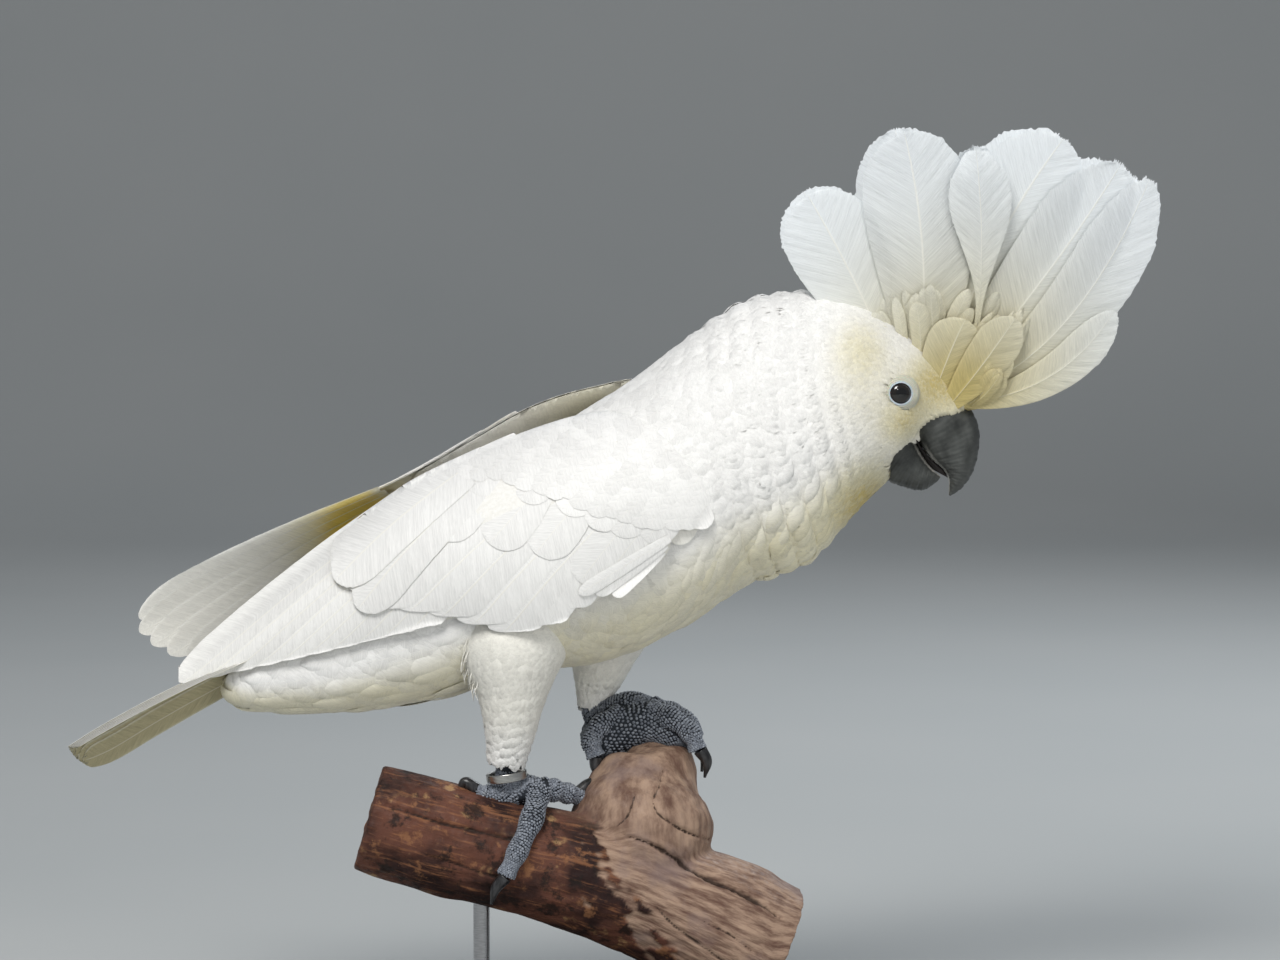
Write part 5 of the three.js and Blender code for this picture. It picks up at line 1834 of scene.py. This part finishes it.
perch_tubes = [limb_tube(LIMB_COURSE, LIMB_RADII, 80, 72), limb_tube(STUB_COURSE, STUB_RADII, 60, 60)]
perch = new_object("branch", *join_parts(perch_tubes), "perch_wood", ("perch",))
modified(perch, "REMESH", mode="VOXEL", voxel_size=WOOD_VOXEL, use_smooth_shade=True)
modified(perch, "SMOOTH", factor=0.5, iterations=4)
places, normals = mesh_points(perch), mesh_points(perch, "normal")
limb_share, stub_share = (along_line(places, course(line, np.linspace(0, 1, 60)))[0]
                          for line in (LIMB_COURSE, STUB_COURSE))
on_stub = smooth_step(places[:, 2] - (0.098 - 0.32 * places[:, 0]), -0.004, 0.008)
edge_wander = 0.010 * ripple(places, 0.03, 21) + 0.005 * ripple(places, 0.011, 22)
past_bark = smooth_step(places[:, 0] + edge_wander + 0.5 * (places[:, 2] - 0.06), -0.002, 0.002)
bare = np.maximum(on_stub, past_bark)
CRACKS = (
    # places x, z; half width; depth
    ([(-9, 101), (5, 96), (24, 84), (42, 76), (51, 71), (63, 62)], 1.3, 2.6),
    ([(12, 131), (9, 122), (6, 115), (8, 110), (17, 103), (27, 97), (37, 91)], 0.9, 1.6),
    ([(-112, 117), (-86, 108), (-58, 101), (-34, 93)], 1.0, 1.8),
    ([(4, 74), (14, 62), (30, 50), (44, 38)], 0.9, 1.2), ([(-2, 118), (-6, 108), (-16, 100)], 0.7, 0.8),
    ([(22, 66), (38, 58), (52, 47)], 0.7, 0.8), ([(-96, 96), (-70, 87), (-40, 78)], 0.8, 0.8))
crack_miss = np.stack([crack(places, line, width, 31 + n) for n, (line, width, _) in enumerate(CRACKS)])
cracks = MM * (np.exp(-crack_miss ** 2) * np.array([depth for *_, depth in CRACKS])[:, None]).sum(0)
grain = ripple(np.stack([places[:, 0] * 0.2, places[:, 1], places[:, 2]], -1), 0.007, 41)
height = 0.35 * MM * ripple(places, 0.02, 42) + 0.16 * MM * grain - cracks - 0.9 * MM * bare
perch.data.vertices.foreach_set("co", (places + normals * height[:, None]).astype(np.float32).ravel())
perch.data.update()
store(perch, "wood", np.stack([bare, crack_miss.min(0), on_stub], -1))
from_limb = [places[:, n] - np.interp(places[:, 0], LIMB_COURSE[:, 0], LIMB_COURSE[:, n]) for n in (1, 2)]
round_limb = np.arctan2(from_limb[1], -from_limb[0]) * 26
store(perch, "run", np.stack([limb_share * 180, round_limb, stub_share * 75], -1))
print("branch triangles:", 2 * len(perch.data.polygons))

# %% [markdown]
# ### Wood
# Worn wood shows long fibres, and bark breaks into dark plates with rusty flakes between them. A flat noise
# would look like paint, so the grain is stretched along the limb, and turned upright on the stub. The
# numbers stored with the cracks darken them with painted shade and divide the bark from the bare wood.

# %% Wood finish
def wood_finish():
    """Bark and bare wood: grain drawn out along the limb, lichen-coloured flecks, painted shade in the
    cracks.
    """
    material, tree, shader = finish_of("weathered_wood", Specular_IOR_Level=0.25)
    bare, groove, stub = split(kept(tree, "wood"))
    run = kept(tree, "run")
    place = object_place(tree)
    upright = noise(place, 110.0, 7.0, 0.66, (1, 1, 0.22))
    lying = noise(run, 0.4, 7.0, 0.66, (0.14, 1, 0.4))
    grain = mix_colours(stub, lying, upright)
    broad = noise(place, 38.0, 4.0)
    fine = noise(place, 420.0, 4.0)
    wood = mix_colours(ramp(grain, 0.32, 0.66), (0.115, 0.062, 0.045, 1), (0.37, 0.255, 0.185, 1))
    wood = mix_colours(ramp(broad, 0.5, 0.68, 0.0, 0.65), wood, (0.20, 0.145, 0.135, 1))
    bark = mix_colours(ramp(broad, 0.36, 0.62), (0.022, 0.010, 0.009, 1), (0.115, 0.046, 0.030, 1))
    bark = mix_colours(ramp(grain, 0.52, 0.66, 0.0, 0.7), bark, (0.24, 0.105, 0.05, 1))
    flecks = product(ramp(noise(place, 120.0, 4.0), 0.58, 0.68),
                       ramp(broad, 0.45, 0.6))
    bark = mix_colours(flecks, bark, (0.32, 0.19, 0.09, 1))
    flakes = noise(place, 70.0, 7.0, 0.7)
    bark = mix_colours(ramp(flakes, 0.44, 0.36, 0.0, 0.6), bark, (0.28, 0.13, 0.06, 1))
    bark = mix_colours(ramp(flakes, 0.52, 0.62, 0.0, 0.85), bark, (0.012, 0.008, 0.007, 1))
    colour = mix_colours(bare, bark, wood)
    groove = math_node("ADD", groove, product(fine, 0.7))
    # Near-black in the cracks: painted shade in the recesses.
    colour = mix_colours(ramp(groove, 0.7, 1.6, 0.9, 0.0), colour, (0.02, 0.011, 0.008, 1))
    height = math_node("MULTIPLY_ADD", grain, 1.0, product(fine, 0.5))
    put_on(shader, colour, height, 0.6, 0.0009, ramp(fine, 0.3, 0.7, 0.5, 0.85))
    return material


perch.data.materials.append(wood_finish())

# %% [markdown]
# ## Stand
# The display stand is plain: a black plate with rounded corners and two steel rods that hold the branch.

# %% Stand
BASE = {"length": 250, "width": 150, "height": 12, "corner": 18, "bevel": 1.5}
ROD_RADIUS, RODS = 3.5, ((-68, -20), (26, -5))
ROD_SIDES, ROD_OVERLAP = 40, 12 * MM


def base_plate():
    """A rounded rectangle carried up through a small round over the upper edge."""
    a = turn_of(128)
    turn = np.stack([np.cos(a), np.sin(a)], -1)
    middle = (np.array([BASE["length"], BASE["width"]]) / 2 - BASE["corner"]) * np.sign(turn)
    curve = np.linspace(0, math.pi / 2, 8)
    inset = np.concatenate([[0.6, 0], BASE["bevel"] * (1 - np.cos(curve)), [12]])
    z = np.concatenate([[0, 0.6], BASE["height"] - BASE["bevel"] * (1 - np.sin(curve)), [BASE["height"]]])
    flat = middle + turn * (BASE["corner"] - inset)[:, None, None]
    return MM * np.concatenate([flat, np.broadcast_to(z[:, None, None], flat.shape[:2] + (1,))], -1)


def lacquer():
    material, tree, shader = finish_of("black_lacquer", Specular_IOR_Level=0.5, Coat_Weight=0.2)
    speck = noise(object_place(tree), 900.0, 3.0)
    colour = mix_colours(speck, (0.012, 0.012, 0.013, 1), (0.024, 0.024, 0.026, 1))
    put_on(shader, colour, speck, 0.2, 0.0001, ramp(speck, 0.3, 0.7, 0.32, 0.42))
    return material


plate = new_object("stand_plate", *closed_tube(base_plate()), "stand_base", ("stand_base",))
plate.data.materials.append(lacquer())
ROD_STEEL = steel_finish("rod_steel", 0.3, (0.55, 0.55, 0.56, 1))
for number, (rod_x, rod_y) in enumerate(RODS, 1):
    top = np.interp(MM * rod_x, LIMB_COURSE[:, 0], LIMB_COURSE[:, 2]) - ROD_OVERLAP
    heights = np.linspace(MM * BASE["height"], top, 3)
    turn = turn_of(ROD_SIDES)
    ring = MM * np.stack([rod_x + ROD_RADIUS * np.cos(turn), rod_y + ROD_RADIUS * np.sin(turn)], -1)
    sides = np.stack([np.concatenate([ring, np.full((ROD_SIDES, 1), z)], -1) for z in heights])
    rod = new_object(f"stand_rod_{number}_steel", *closed_tube(sides), "stand_rod", (f"stand_rod_{number}",))
    sharpen(rod, np.abs(np.arange(3 * ROD_SIDES + 2) // ROD_SIDES - 1) == 1)
    rod.data.materials.append(ROD_STEEL)
